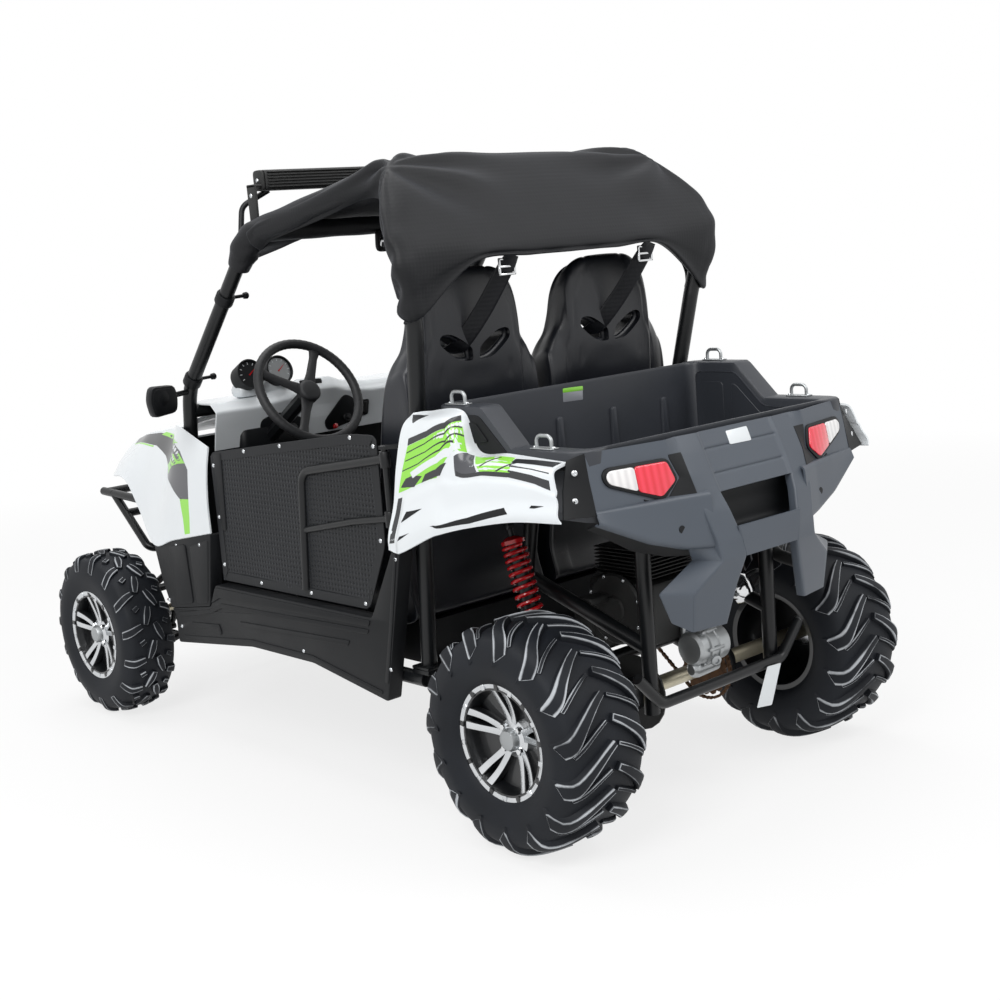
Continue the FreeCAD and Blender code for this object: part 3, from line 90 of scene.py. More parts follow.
print("camera", np.round(camera_place, 3))


# %% [markdown]
# ## Colours and nodes
# Colours are written as on a paint card, in sRGB hex, and turned to the linear
# light that a renderer adds up. One small function adds a node, sets what is its
# own and links or fills its sockets, so that a material reads as a short recipe.

# %% Two helpers for materials
def paint(code, alpha=1.0):
    """sRGB hex to linear light: c / 12.92 below 0.04045, else ((c + 0.055) / 1.055) to the power 2.4."""
    share = np.array([int(code[i:i + 2], 16) for i in (1, 3, 5)]) / 255
    light = np.where(share <= 0.04045, share / 12.92, ((share + 0.055) / 1.055) ** 2.4)
    return (*light.tolist(), alpha)


def add(tree, kind, inputs=None, **settings):
    """Adds one node with its settings, then links its sockets or fills them with values."""
    node = tree.nodes.new(kind)
    for name, value in settings.items():
        setattr(node, name, value)
    for name, value in (inputs or {}).items():
        if isinstance(value, bpy.types.NodeSocket):
            tree.links.new(value, node.inputs[name])
        else:
            node.inputs[name].default_value = value
    return node


def new_material(name):
    """An empty material with its output: returns the material, its tree and its Object coordinates."""
    material = bpy.data.materials.new(name)
    material.use_nodes = True
    tree = material.node_tree
    tree.nodes.clear()
    place = add(tree, "ShaderNodeTexCoord").outputs["Object"]
    return material, tree, place


def close_material(tree, shader):
    """Sends the shader to the output."""
    add(tree, "ShaderNodeOutputMaterial", {"Surface": shader.outputs[0]})


def finish(tree, colour, relief, depth, strength, **sockets):
    """Bump from a relief, its depth in mm, and a Principled shader with its own sockets, to the output."""
    bump = add(tree, "ShaderNodeBump", {"Height": relief, "Distance": depth * MM, "Strength": strength})
    sockets.update({"Base Color": colour, "Normal": bump.outputs["Normal"]})
    close_material(tree, add(tree, "ShaderNodeBsdfPrincipled", sockets))


print("mid grey #808080 in linear light:", round(paint("#808080")[0], 3))


# %% [markdown]
# ## A grained surface
# Most finishes here are one idea: a base colour that wanders a little between
# two shades over a hand's width, and a fine grain that only the light shows.
# Grain sizes are real ones in millimetres, and a few are drawn two or three
# times coarser than life, because the true one would vanish at this distance.

# %% The grained surface
def grained(name, base, shade, roughness, grain=2.0, height=0.15, metallic=0.0, patch=160.0, spread=0.12,
        **sockets):
    """Colour = mix(base, shade, broad noise); bump = fine noise; patch, grain and height are in mm."""
    material, tree, place = new_material(name)
    broad = add(tree, "ShaderNodeTexNoise", {"Vector": place, "Scale": 1000 / patch, "Detail": 4.0})
    fine = add(tree, "ShaderNodeTexNoise", {"Vector": place, "Scale": 1000 / grain, "Detail": 2.0})
    tint = add(tree, "ShaderNodeMix", {0: broad.outputs["Fac"], 6: paint(base), 7: paint(shade)},
        data_type="RGBA")
    rough = add(tree, "ShaderNodeMapRange", {"Value": broad.outputs["Fac"],
        "To Min": max(0.03, roughness - spread), "To Max": roughness + spread})
    finish(tree, tint.outputs[2], fine.outputs["Fac"], height, 0.6, Roughness=rough.outputs["Result"],
        Metallic=metallic, **sockets)
    return material


# Injection-moulded ABS with a polished tool: glossy, faint orange peel.
white_abs = grained("white_abs_moulded", "#E6EAEC", "#DDE2E6", 0.26, grain=14, height=0.05, patch=400,
    spread=0.05, **{"Coat Weight": 0.25, "Coat Roughness": 0.12})
# Polypropylene from a spark-eroded tool: black with a fine leather-like grain that scatters light.
black_pp = grained("black_polypropylene_moulded", "#0B0C0E", "#121417", 0.5, grain=2.5, height=0.25,
    **{"Specular IOR Level": 0.25})
grey_pp = grained("grey_polypropylene_moulded", "#434952", "#4C535C", 0.42, grain=2.5, height=0.22,
    patch=300, spread=0.06, **{"Specular IOR Level": 0.45})
bed_pp = grained("dark_polypropylene_cargo_bed", "#2A2D32", "#33363D", 0.46, grain=3, height=0.3, patch=240)
seat_vinyl = grained("seat_vinyl_moulded", "#121419", "#1B1E25", 0.38, grain=3.2, height=0.35, patch=220)
# Steel tube, powder coated black: satin with a soft orange peel.
powder_black = grained("steel_tube_powder_coated", "#0C0D0F", "#141618", 0.34, grain=5, height=0.06,
    spread=0.06, **{"Specular IOR Level": 0.35})
# Spring steel, sprayed red and baked: gloss.
spring_red = grained("spring_steel_red_enamel", "#C0141C", "#A80F16", 0.24, grain=8, height=0.05,
    spread=0.05, **{"Coat Weight": 0.4})
# Bright metals.
machined_alloy = grained("wheel_alloy_machined", "#D9DBDD", "#C4C7CA", 0.26, grain=1.5, height=0.04,
    metallic=1.0, patch=60, spread=0.07)
cast_alloy = grained("aluminium_sand_cast", "#B4B7B8", "#9A9D9F", 0.42, grain=3, height=0.35, metallic=0.9,
    patch=60)
chrome = grained("steel_chrome_plated", "#E2E3E4", "#CFD1D3", 0.09, grain=20, height=0.02, metallic=1.0,
    spread=0.03)
axle_steel = grained("steel_turned_oiled", "#C9C3AE", "#A79F88", 0.35, grain=1.2, height=0.05,
    metallic=0.85, patch=50)
rusty_steel = grained("steel_surface_rust", "#6E4B2C", "#3C2C20", 0.7, grain=3, height=0.5, metallic=0.35,
    patch=14, spread=0.1)
cast_iron = grained("iron_cast_blackened", "#2A2B2C", "#3A3A39", 0.55, grain=3, height=0.4, metallic=0.6,
    patch=40)
grip_foam = grained("steering_grip_rubber", "#121315", "#1C1D20", 0.6, grain=2.2, height=0.3)
print("materials:", len(bpy.data.materials))


# %% [markdown]
# ## Surfaces from numbers
# Every new piece is a grid of points: a shape as a function of two parameters, or
# a profile carried along a path. These few helpers work on whole arrays, turn a
# grid to faces, and put several closed surfaces into one object.

# %% Grids, faces and pieces
def grid_faces(rows, columns, ring_rows=False, ring_columns=False):
    """The four corner numbers of each face of a grid: (i, j), (i + 1, j), (i + 1, j + 1), (i, j + 1)."""
    i, j = np.meshgrid(np.arange(rows if ring_rows else rows - 1),
        np.arange(columns if ring_columns else columns - 1), indexing="ij")
    i_next, j_next = (i + 1) % rows, (j + 1) % columns
    return np.stack([i * columns + j, i_next * columns + j, i_next * columns + j_next,
        i * columns + j_next], axis=-1).reshape(-1, 4)


def surface(points, ring_rows=False, ring_columns=False, caps=False):
    """A grid of points in millimetres as (points, faces); caps close the two ends of a ring of columns."""
    rows, columns = points.shape[:2]
    faces = grid_faces(rows, columns, ring_rows, ring_columns).tolist()
    if caps:
        faces.append(list(range(columns)))
        faces.append(list(range(rows * columns - 1, (rows - 1) * columns - 1, -1)))
    return points.reshape(-1, 3), faces


def solid(points):
    """The closed surface of a ring carried along."""
    return surface(points, ring_columns=True, caps=True)


def piece(name, parts, material, body, stands_for=(), smooth=35, fix=True):
    """One object at the origin from surfaces; a part may bring its own material as a third entry."""
    points, faces, which, materials, start = [], [], [], [material], 0
    for part in parts:
        own = part[2] if len(part) > 2 else material
        if own not in materials:
            materials.append(own)
        points.append(part[0])
        faces += [[corner + start for corner in face] for face in part[1]]
        which += [materials.index(own)] * len(part[1])
        start += len(part[0])
    mesh = bpy.data.meshes.new(name)
    mesh.from_pydata((np.concatenate(points) * MM).tolist(), [], faces)
    for item in materials:
        mesh.materials.append(item)
    mesh.polygons.foreach_set("material_index", which)
    mesh.validate()
    if fix:
        outward(mesh)
    mesh.polygons.foreach_set("use_smooth", [True] * len(mesh.polygons))
    mesh.set_sharp_from_angle(angle=math.radians(smooth))
    item = bpy.data.objects.new(name, mesh)
    bpy.context.scene.collection.objects.link(item)
    if stands_for:
        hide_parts(*stands_for)
    if body:
        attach(item, body)
    return item


def outward(mesh, merge=True):
    """Turns every face outward; doubled points are merged first, unless the points carry values."""
    work = bmesh.new()
    work.from_mesh(mesh)
    if merge:
        bmesh.ops.remove_doubles(work, verts=work.verts, dist=1e-6)
    bmesh.ops.recalc_face_normals(work, faces=work.faces)
    work.to_mesh(mesh)
    work.free()


def other_side(part):
    """The same surface on the vehicle's right: x changes sign and the faces turn round."""
    return (part[0] * [-1, 1, 1], [face[::-1] for face in part[1]], *part[2:])


SIDES = (("left", lambda part: part), ("right", other_side))


def both(parts):
    """Parts of the left side and their mirror images."""
    return list(parts) + [other_side(part) for part in parts]


print("a grid of 3 by 4 points has", len(grid_faces(3, 4)), "faces")


# %% Curves and tubes
def ramp(value):
    """The value held between 0 and 1."""
    return np.clip(value, 0, 1)


def ease(rows, u, v, ring=False):
    """Catmull-Rom over a table of points, along both directions.

    The curve passes through every point, and its slope there is half the gap of the neighbours.
    """
    table = np.asarray(rows, float)
    for axis, share, round_about in ((0, np.asarray(u, float), False), (1, np.asarray(v, float), ring)):
        if table.shape[axis] > 1:
            table = along(table, share, axis, round_about)
    return table


def along(table, share, axis, round_about):
    """The curve at shares 0 to 1 of one axis of a table of points."""
    table = np.moveaxis(table, axis, 0)
    count = len(table)
    spans = count if round_about else count - 1
    at = ramp(share) * spans
    step = np.minimum(at.astype(int), spans - 1)
    t = (at - step).reshape(-1, *[1] * (table.ndim - 1))
    if round_about:
        p = [table[(step + k) % count] for k in (-1, 0, 1, 2)]
    else:
        ends = np.concatenate([2 * table[:1] - table[1:2], table, 2 * table[-1:] - table[-2:-1]])
        p = [ends[step + k] for k in (0, 1, 2, 3)]
    curve = p[1] + 0.5 * t * (p[2] - p[0] + t * (2 * p[0] - 5 * p[1] + 4 * p[2] - p[3]
        + t * (3 * (p[1] - p[2]) + p[3] - p[0])))
    return np.moveaxis(curve, 0, axis)


def curve(points, share, closed=False):
    """The smooth curve through one line of points, at shares 0 to 1 of it."""
    return along(np.asarray(points, float), share, 0, closed)


def swept(path, profile, closed=False, across=None):
    """Point = path + the profile's first size on one normal of the path + its second size on the other."""
    path = np.asarray(path, float)
    if closed:
        heading = np.roll(path, -1, axis=0) - np.roll(path, 1, axis=0)
    else:
        heading = np.gradient(path, axis=0)
    heading = unit(heading)
    if across is None:
        across = np.linalg.svd(path - path.mean(axis=0))[2][-1]
    first = unit(np.cross(heading, np.broadcast_to(np.asarray(across, float), heading.shape)))
    second = np.cross(first, heading)
    profile = np.broadcast_to(np.asarray(profile, float), (len(path), *np.shape(profile)[-2:]))
    return path[:, None] + profile[..., :1] * first[:, None] + profile[..., 1:] * second[:, None]


def one_turn(count):
    """Evenly spaced angles once round."""
    return np.linspace(0, 2 * np.pi, count, endpoint=False)


def circle(radius, count=16):
    """Points round a circle: radius times cosine and sine."""
    turn = one_turn(count)
    return np.stack([np.cos(turn), np.sin(turn)], axis=-1) * radius


def bent(corners, radius, steps=8):
    """A tube's centre line: straight runs, and at each corner an arc of the die's radius, tangent to both."""
    corners = np.asarray(corners, float)
    line = [corners[:1]]
    for before, corner, after in zip(corners, corners[1:], corners[2:]):
        back, ahead = unit(before - corner), unit(after - corner)
        half = math.acos(np.clip(back @ ahead, -1, 1)) / 2
        middle = corner + unit(back + ahead) * radius / math.sin(half)
        reach = radius / math.tan(half)
        start, stop = corner + back * reach - middle, corner + ahead * reach - middle
        share = np.linspace(0, 1, steps)[:, None]
        sweep = math.pi - 2 * half
        arc = (start * np.sin((1 - share) * sweep) + stop * np.sin(share * sweep)) / math.sin(sweep)
        line.append(middle + arc)
    line.append(corners[-1:])
    return np.concatenate(line)


def tube(corners, diameter, radius=60, count=16):
    """A closed round tube along its bent centre line."""
    return solid(swept(bent(corners, radius), circle(diameter / 2, count)))


elbow = bent([(0, 0, 0), (200, 0, 0), (200, 200, 0)], 60)
print("a right-angled elbow has", len(elbow), "points on its centre line")


# %% Turned parts and boxes
def lathe(profile, count=48, centre=(0, 0, 0), axis=ACROSS, ring=False):
    """A profile of (place along the axis, radius) turned about the axis; ring joins the profile's ends."""
    profile = np.asarray(profile, float)
    axis = unit(np.asarray(axis, float))
    side = unit(np.cross(axis, [0, 0, 1] if abs(axis[2]) < 0.9 else [0, 1, 0]))
    lift = np.cross(axis, side)
    turn = one_turn(count)
    spoke = np.cos(turn)[:, None] * side + np.sin(turn)[:, None] * lift
    points = np.asarray(centre, float) + profile[:, None, :1] * axis + profile[:, None, 1:] * spoke
    return surface(points, ring_rows=ring, ring_columns=True, caps=not ring)


def box_part(low, high, edge=2.0):
    """A box with softened edges, from a rounded-square outline carried upward and drawn in at both ends."""
    low, high = np.asarray(low, float), np.asarray(high, float)
    centre, half = (low + high) / 2, (high - low) / 2
    edge = min(edge, *half * 0.9)
    turn = np.radians([0, 30, 60, 90]) + np.arange(4)[:, None] * np.pi / 2
    middles = (half[:2] - edge) * [(1, 1), (-1, 1), (-1, -1), (1, -1)]
    corner = (np.stack([np.cos(turn), np.sin(turn)], axis=-1) * edge + middles[:, None]).reshape(-1, 2)
    levels = np.array([(-half[2], 1.0), (-half[2] + edge * 0.3, 0.3), (-half[2] + edge, 0.0),
        (half[2] - edge, 0.0), (half[2] - edge * 0.3, 0.3), (half[2], 1.0)])
    reach = (half[:2] - edge * levels[:, 1:]) / half[:2]
    points = np.concatenate([corner * reach[:, None],
        np.broadcast_to(levels[:, :1, None], (6, len(corner), 1))], axis=-1)
    return solid(points + centre)


print("helpers ready")


# %% [markdown]
# ## Tyres
# An off-road tyre is a rounded casing with rubber bars moulded onto it. The
# casing is a cross-section turned round the axle. A bar is a small ridge that
# follows a slanted line over the casing, so it is laid out in two numbers, the
# place across the tread and the angle round it, and lifted off the casing.
# Along each bar's top edges a pale line is painted on as a highlight.

# %% Rubber
def tyre_rubber_material():
    """Vulcanised rubber: near black, dusty in patches, matt; the edge attribute marks where a highlight is
    painted.
    """
    material, tree, place = new_material("tyre_rubber_vulcanised")
    dust = add(tree, "ShaderNodeTexNoise", {"Vector": place, "Scale": 9.0, "Detail": 6.0})
    speck = add(tree, "ShaderNodeTexNoise", {"Vector": place, "Scale": 420.0, "Detail": 3.0})
    tint = add(tree, "ShaderNodeMix", {0: dust.outputs["Fac"], 6: paint("#0B0D11"), 7: paint("#191D24")},
        data_type="RGBA")
    # Painted highlight: pale #C4C8CD on the bars' top edges, where the dust noise is high.
    edge = add(tree, "ShaderNodeAttribute", attribute_name="edge")
    painted_highlight = add(tree, "ShaderNodeMath", {0: edge.outputs["Fac"], 1: dust.outputs["Fac"]},
        operation="MULTIPLY")
    pale = add(tree, "ShaderNodeMapRange", {"Value": painted_highlight.outputs[0], "From Min": 0.3, "From Max": 0.5,
        "To Max": 0.85})
    tint = add(tree, "ShaderNodeMix", {0: pale.outputs["Result"], 6: tint.outputs[2], 7: paint("#C4C8CD")},
        data_type="RGBA")
    finish(tree, tint.outputs[2], speck.outputs["Fac"], 0.25, 0.7, Roughness=0.62,
        **{"Specular IOR Level": 0.25})
    return material


tyre_rubber = tyre_rubber_material()
print("rubber:", tyre_rubber.name)


# %% Casing and bars
def casing_line(half, crown, seat, bead):
    """Half of the cross-section from the bead over the bulge and shoulder to the crown, as control points."""
    tall = crown - seat
    return np.array([(bead - 10, seat), (bead, seat + 2), (half * 0.9, seat + tall * 0.16),
                     (half - 2, seat + tall * 0.42), (half - 3, seat + tall * 0.62),
                     (half - 12, seat + tall * 0.83), (half * 0.74, crown - 9), (half * 0.4, crown - 2),
                     (0, crown)], float)


def casing_radius(line, x):
    """The casing's outer radius over the tread at x from the middle, read off the cross-section."""
    fine = curve(line, np.linspace(0, 1, 200))
    upper = fine[fine[:, 1] > fine[:, 1].max() - 62]
    return np.interp(np.abs(x), upper[::-1, 0], upper[::-1, 1])


# %% Bars on the casing
def bar(line, across, turn, width, height, count, axle, slope=3.5):
    """Ridges of a trapezium section along stations (across, turn), repeated round the wheel.

    Every point is (x, r sin, r cos) about the axle; slope is how far each flank leans out.
    """
    share = np.linspace(0, 1, 14)
    table = curve(np.stack([across, turn, width, height], axis=-1), share)
    x, angle, wide, tall = table.T
    radius = casing_radius(line, x)
    run = unit(np.gradient(np.stack([x, np.radians(angle) * radius], axis=-1), axis=0))
    side = np.array([-1, -1, -0.9, -0.35, 0.35, 0.9, 1, 1])
    lift = np.array([-8, 0.35, 0.96, 1, 1, 0.96, 0.35, -8])
    reach = side * (wide[:, None] / 2 + slope * (1 - ramp(lift)))
    px = x[:, None] - run[:, 1:] * reach
    pa = np.radians(angle)[:, None] + run[:, :1] * reach / radius[:, None]
    high = np.where(lift > 0, lift * tall[:, None], lift)
    pr = casing_radius(line, px) + high
    turn_all = pa[None] + one_turn(count)[:, None, None]
    px, pr = np.broadcast_to(px, turn_all.shape), np.broadcast_to(pr, turn_all.shape)
    points = np.stack([px + axle[0], pr * np.sin(turn_all) + axle[1], pr * np.cos(turn_all) + axle[2]],
        axis=-1)
    # 1 on the bar's two top edges, where the painted highlight goes; a little on its top.
    mark = np.broadcast_to(np.array([0, 0, 1, 0.15, 0.15, 1, 0, 0]), turn_all.shape)
    return points, mark


def ridges(points):
    """The faces of many ridges at once, with both ends closed."""
    count, rows, columns = points.shape[:3]
    k = np.arange(columns // 2 - 1)
    end = np.stack([k, k + 1, columns - 2 - k, columns - 1 - k], axis=-1)
    one = np.concatenate([grid_faces(rows, columns), end, end[:, ::-1] + (rows - 1) * columns])
    faces = (one[None] + (np.arange(count) * rows * columns)[:, None, None]).reshape(-1, 4)
    return points.reshape(-1, 3), faces.tolist()


# %% The whole tyre
def tyre(name, axle, half, crown, seat, bead, bars, count, body):
    """Casing with an open inside, sidewall ribs, and bars of (across, turn, width, height) stations."""
    line = casing_line(half, crown, seat, bead)
    outer = curve(line, np.linspace(0, 1, 30))
    above = outer[:, 1] - seat
    rib = 0.8 * np.exp(-((above - 17) / 2.2) ** 2) + 0.7 * np.exp(-((above - 40) / 2.0) ** 2)
    outer = outer + np.stack([rib, rib * 0], axis=-1)
    inner = np.array([(half * 0.6, crown - 16), (half * 0.82, seat + (crown - seat) * 0.5),
        (bead - 14, seat + 8)])
    section = np.concatenate([outer, outer[-2::-1] * [-1, 1], inner[::-1] * [-1, 1], inner])
    parts = [lathe(section, 120, axle, ring=True)]
    marks = [np.zeros(len(parts[0][0]))]
    for item in bars:
        for mirror in (1, -1):
            across, turn, width, height = (np.asarray(row, float) for row in item)
            shift = 180 / count if mirror < 0 else 0
            points, mark = bar(line, across * mirror, turn + shift, width, height, count, axle)
            parts.append(ridges(points))
            marks.append(mark.ravel())
    item = piece(name, parts, tyre_rubber, body, [name.replace("_tread", "")], smooth=32,
        fix=False)
    edge = item.data.attributes.new("edge", "FLOAT", "POINT")
    edge.data.foreach_set("value", np.concatenate(marks).astype(np.float32))
    outward(item.data, merge=False)
    return item


# %% Four tyres
rear_bars = [((5, 40, 84, 112, 124), (-11.5, -7.0, 0.5, 8.0, 11.5), (15, 20, 26, 30, 28),
             (15.5, 16, 17, 13, 5)),
             ((14, 50, 88, 110), (1.5, 5.2, 10.2, 14.6), (6, 7, 8, 7), (9, 10, 11, 4))]
front_bars = [((5, 14, 26), (-6.5, -1.0, 5.5), (15, 22, 13), (11, 12, 11)),
              ((40, 60, 78, 86), (6.0, 7.5, 9.5, 11), (17, 21, 23, 22), (11, 12, 10, 4)),
              ((36, 52), (-7.5, -5.5), (12, 14), (10, 10.5))]
front_axle = np.array([545, -945, 266.5])
rear_axle = np.array([504, 995, 279.5])
BARS_ROUND = 15
for side, sign in (("left", 1), ("right", -1)):
    tyre(f"tyre_rear_{side}_tread", rear_axle * [sign, 1, 1], 127, 262.3, 131.5, 97, rear_bars, BARS_ROUND,
        "rear_wheels")
    tyre(f"tyre_front_{side}_tread", front_axle * [sign, 1, 1], 89, 254.3, 131.5, 72, front_bars,
        BARS_ROUND, f"front_wheel_{side}")

# %% [markdown]
# ## Wheels
# A cast alloy wheel is turned on a lathe after casting: the lip and the faces of
# the spokes are bright and the pockets between them stay black. The barrel is a
# turned profile. Each of five double spokes is a bar from the hub to the lip,
# bright on its face and black on its flanks, so it is made of two surfaces.

# %% Wheels
wheel_black = grained("wheel_alloy_black_lacquer", "#0B0C0E", "#15171A", 0.35, grain=6, height=0.05,
    **{"Coat Weight": 0.5})
SPOKE_PAIRS, NUTS, RIM_TABS = 5, 4, 18
NUT_CIRCLE = 36


flank_section = np.array([(-1, -1), (-1, -0.1), (-0.86, 0), (0.86, 0), (1, -0.1), (1, -1)])
face_section = np.array([(-0.84, -0.6), (-0.84, 0.7), (-0.76, 1.1), (0.76, 1.1), (0.84, 0.7), (0.84, -0.6)])


def wheel(name, axle, half, sign, dish, body, node, bore):
    """Barrel, lip and five pairs of spokes; x runs outward from the rim's middle, times the side's sign."""
    def turned(profile, count=80, ring=True):
        """A profile turned about the axle, on the wheel's own side."""
        points, faces = lathe(profile, count, (0, 0, 0), ACROSS, ring)
        return points * [sign, 1, 1] + axle, faces

    seat, wall, edge = 128.5, 5, half + 6
    barrel = [(-half, seat), (-half - 5, 143.5), (-half - 1.5, 143.5), (-half + 2, seat + 1),
              (half - 2, seat + 1), (half + 1.5, 142.5),
              (half + 4, 142.5), (half + 4, seat - 4), (half - 6, seat - wall - 1),
              (half - 26, seat - wall - 6), (-half + 20, seat - wall - 6), (-half, seat - wall)]
    lip = [(half + 4.2, 142.8), (edge, 143.5), (edge + 0.5, 140), (edge - 1, 133), (edge - 5, 126.5),
        (half - 8, 122.5), (half - 8, 124), (half + 4.2, 130)]
    back = edge - dish
    hub = [(back - 16, bore), (back + 12, bore), (back + 12, 30), (back + 6, 36), (back + 2, 46),
        (back - 10, 48), (back - 16, 40)]
    cap = [(back + 11, 0.3), (back + 11, 28), (back + 20, 27), (back + 27, 23), (back + 29, 17),
        (back + 29, 0.3)]
    dish_ring = [(back - 18, 44), (back - 8, 44), (half - 34, 119), (half - 40, 119)]
    parts = [(*turned(barrel), wheel_black), (*turned(lip), machined_alloy),
             (*turned(hub), machined_alloy), (*turned(cap, 40, False), cast_alloy),
             (*turned(dish_ring), wheel_black)]
    share = np.linspace(0, 1, 12)
    radius = 34 + (126 - 34) * share
    depth = back + 4 + (half + 1 - back - 4) * share ** 1.6
    for pair in one_turn(SPOKE_PAIRS):
        for lean in (-1, 1):
            turn = pair + lean * np.radians(8.4 + 1.5 * np.sin(share * np.pi))
            wide = 21 - 3 * np.sin(share * np.pi)
            path = np.stack([depth * sign, radius * np.sin(turn), radius * np.cos(turn)], axis=-1)
            for section, tall, material in ((flank_section, 20.0, wheel_black),
                    (face_section, 1.0, machined_alloy)):
                profile = section * np.stack([wide / 2, np.full(len(share), tall)], axis=-1)[:, None]
                parts.append((*solid(swept_face(path, profile, sign) + axle), material))
    for turn in one_turn(NUTS) + np.pi / NUTS:
        nut = lathe([(0, 0.3), (0, 9), (9, 9), (12, 7), (13, 0.3)], 6, (0, 0, 0), ACROSS, False)
        place = np.array([back + 4, NUT_CIRCLE * math.sin(turn), NUT_CIRCLE * math.cos(turn)])
        parts.append(((nut[0] + place) * [sign, 1, 1] + axle, nut[1], chrome))
    tab = box_part((edge - 3, -6, 127), (edge + 1.6, 6, 141), 1.0)
    for number, turn in enumerate(one_turn(RIM_TABS)):
        c, s = math.cos(turn), math.sin(turn)
        points = tab[0] @ np.array([[1, 0, 0], [0, c, -s], [0, s, c]])
        parts.append((points * [sign, 1, 1] + axle, tab[1], machined_alloy if number % 2 else wheel_black))
    return piece(name, parts, machined_alloy, body, [node], smooth=38)


def swept_face(path, profile, sign):
    """A bar's section along its path: the first size runs round the wheel, the second along the axle."""
    heading = unit(np.gradient(path[:, 1:], axis=0))
    round_wheel = np.stack([np.zeros(len(path)), -heading[:, 1], heading[:, 0]], axis=-1)
    outward_axis = np.array([sign, 0, 0])
    return path[:, None] + profile[..., :1] * round_wheel[:, None] + profile[..., 1:] * outward_axis


for side, sign in (("left", 1), ("right", -1)):
    wheel(f"wheel_rear_{side}", rear_axle * [sign, 1, 1], 98, sign, 46, "rear_wheels", f"rim_rear_{side}",
        20.3)
    wheel(f"wheel_front_{side}", front_axle * [sign, 1, 1], 73, sign, 30, f"front_wheel_{side}",
        f"rim_front_{side}", 12.6)
print("wheels ready")

# %% [markdown]
# ## Tubes
# The frame, cage, arms and bumpers are round steel tube, bent cold round a die.
# Their centre lines are repeated from the drawing: corner points, and one bend
# radius. A round profile carried along each line gives a smooth tube.

# %% Frame, cage and arms
def tubes(name, lines, node, extra=()):
    """Left-hand tubes of (corners, diameter, bend), their mirror images, and other parts as they are."""
    parts = both([tube(corners, diameter, bend) for corners, diameter, bend in lines]) + list(extra)
    return piece(name, parts, powder_black, "chassis", [node], smooth=40)


def crossing(half, y, z, diameter):
    """A straight tube from side to side."""
    return tube([(-half, y, z), (half, y, z)], diameter)


FRAME_TUBE, CAGE_TUBE, CAGE_BAR, GUARD_TUBE, ARM_TUBE = 38, 42, 36, 28, 24
frame_lines = [
    ([(230, -1130, 245), (230, -730, 245), (230, -560, 340), (230, 670, 340), (230, 760, 752),
     (230, 1185, 752)], FRAME_TUBE, 60),
    ([(230, -1040, 245), (230, -1040, 640), (230, -540, 690), (230, -540, 340)], FRAME_TUBE, 50),
    ([(230, -850, 245), (230, -850, 658)], FRAME_TUBE, 50),
    ([(500, -540, 340), (500, 610, 340)], FRAME_TUBE, 50),
    ([(230, 1125, 271), (230, 1125, 752)], FRAME_TUBE, 50),
    ([(230, 1125, 432), (230, 740, 562)], FRAME_TUBE, 50)]
frame_boxes = [box_part((220, 645, 335), (228, 755, 405)), box_part((448, -550, 355), (512, -486, 367)),
               box_part((448, 568, 355), (512, 632, 367)),
               box_part((230, 700, 742), (290, 740, 750))]
frame_crossings = [crossing(half, y, z, FRAME_TUBE)
                   for half, y, z in ((500, -540, 340), (500, 150, 340), (500, 610, 340),
                   (230, -1040, 640), (230, -1040, 245),
                   (230, -850, 245), (230, 1125, 752), (340, 760, 752))]
tubes("frame_tubes", frame_lines, "frame", both(frame_boxes) + frame_crossings)
print("frame tubes:", 2 * len(frame_lines) + len(frame_crossings))

# %% Roll cage
cage_rail = [(480, -518, 371), (480, -420, 1057), (458, -50, 1482), (405, 560, 1612)]
cage_hoop = [(480, 600, 371), (484, 645, 1007), (505, 690, 1225), (540, 718, 1400), (405, 560, 1612),
    (0, 560, 1612)]
cage_feet = both([box_part((448, -550, 367.3), (512, -486, 375)),
    box_part((448, 568, 367.3), (512, 632, 375))])
cage_bars = [crossing(450, 20, 1494, CAGE_BAR), crossing(540, 724, 1406, CAGE_BAR),
    crossing(480, -428, 988.6, CAGE_BAR)]
tubes("cage_tubes", [(cage_rail, CAGE_TUBE, 170), (cage_hoop, CAGE_TUBE, 70)], "roll_cage",
    cage_feet + cage_bars)
print("cage bars:", len(cage_bars), "feet:", len(cage_feet))

# %% Bumper, guard and arms
tubes("bumper_tubes", [([(330, -1331, 664), (330, -1040, 650), (249.3, -1040, 650)], GUARD_TUBE, 30),
      ([(330, -1261, 664), (330, -1055, 484), (249.3, -1040, 484)], GUARD_TUBE, 30)],
      "front_bumper", [crossing(330, -1297, 664, GUARD_TUBE), crossing(330, -1179, 597, GUARD_TUBE)])
guard = tube([(-310, 1158.3, 382), (-230, 1158.3, 301), (230, 1158.3, 301), (310, 1158.3, 382)],
    GUARD_TUBE, 40)
tubes("guard_tube", [], "rear_guard_bar", [guard])

carrier = lathe([(-23, 20.2), (-23, 40), (-20, 42), (20, 42), (23, 40), (23, 20.2)], 40, (175, 995, 279.5),
    ring=True)
tubes("swing_arm_tubes", [([(175, 735, 365), (175, 995, 279.5)], 42, 60)], "swing_arm",
      both([carrier]) + [crossing(219.7, 735, 365, 42), crossing(342, 865, 335.25, 34)])
arm_lines = []
for pivot_z, cup_z in ((245, 168.2), (400, 364.8)):
    for pivot_y in (-1040, -850):
        arm_lines.append(([(265.3, pivot_y - 22, pivot_z), (265.3, pivot_y + 22, pivot_z)], 32, 40))
        arm_lines.append(([(265.3, pivot_y, pivot_z), (422, -945, cup_z)], ARM_TUBE, 40))
arm_lines.append(([(342, -991, 207.4), (342, -899, 207.4)], ARM_TUBE, 40))
cups = [lathe([(0, 0.3), (0, 18), (2, 20), (18, 20), (20, 18), (20, 0.3)], 32, (430, -945, z), UP)
    for z in (158.2, 354.8)]
tubes("front_arm_tubes", arm_lines, "front_arms", both(cups))
print("tubes ready")


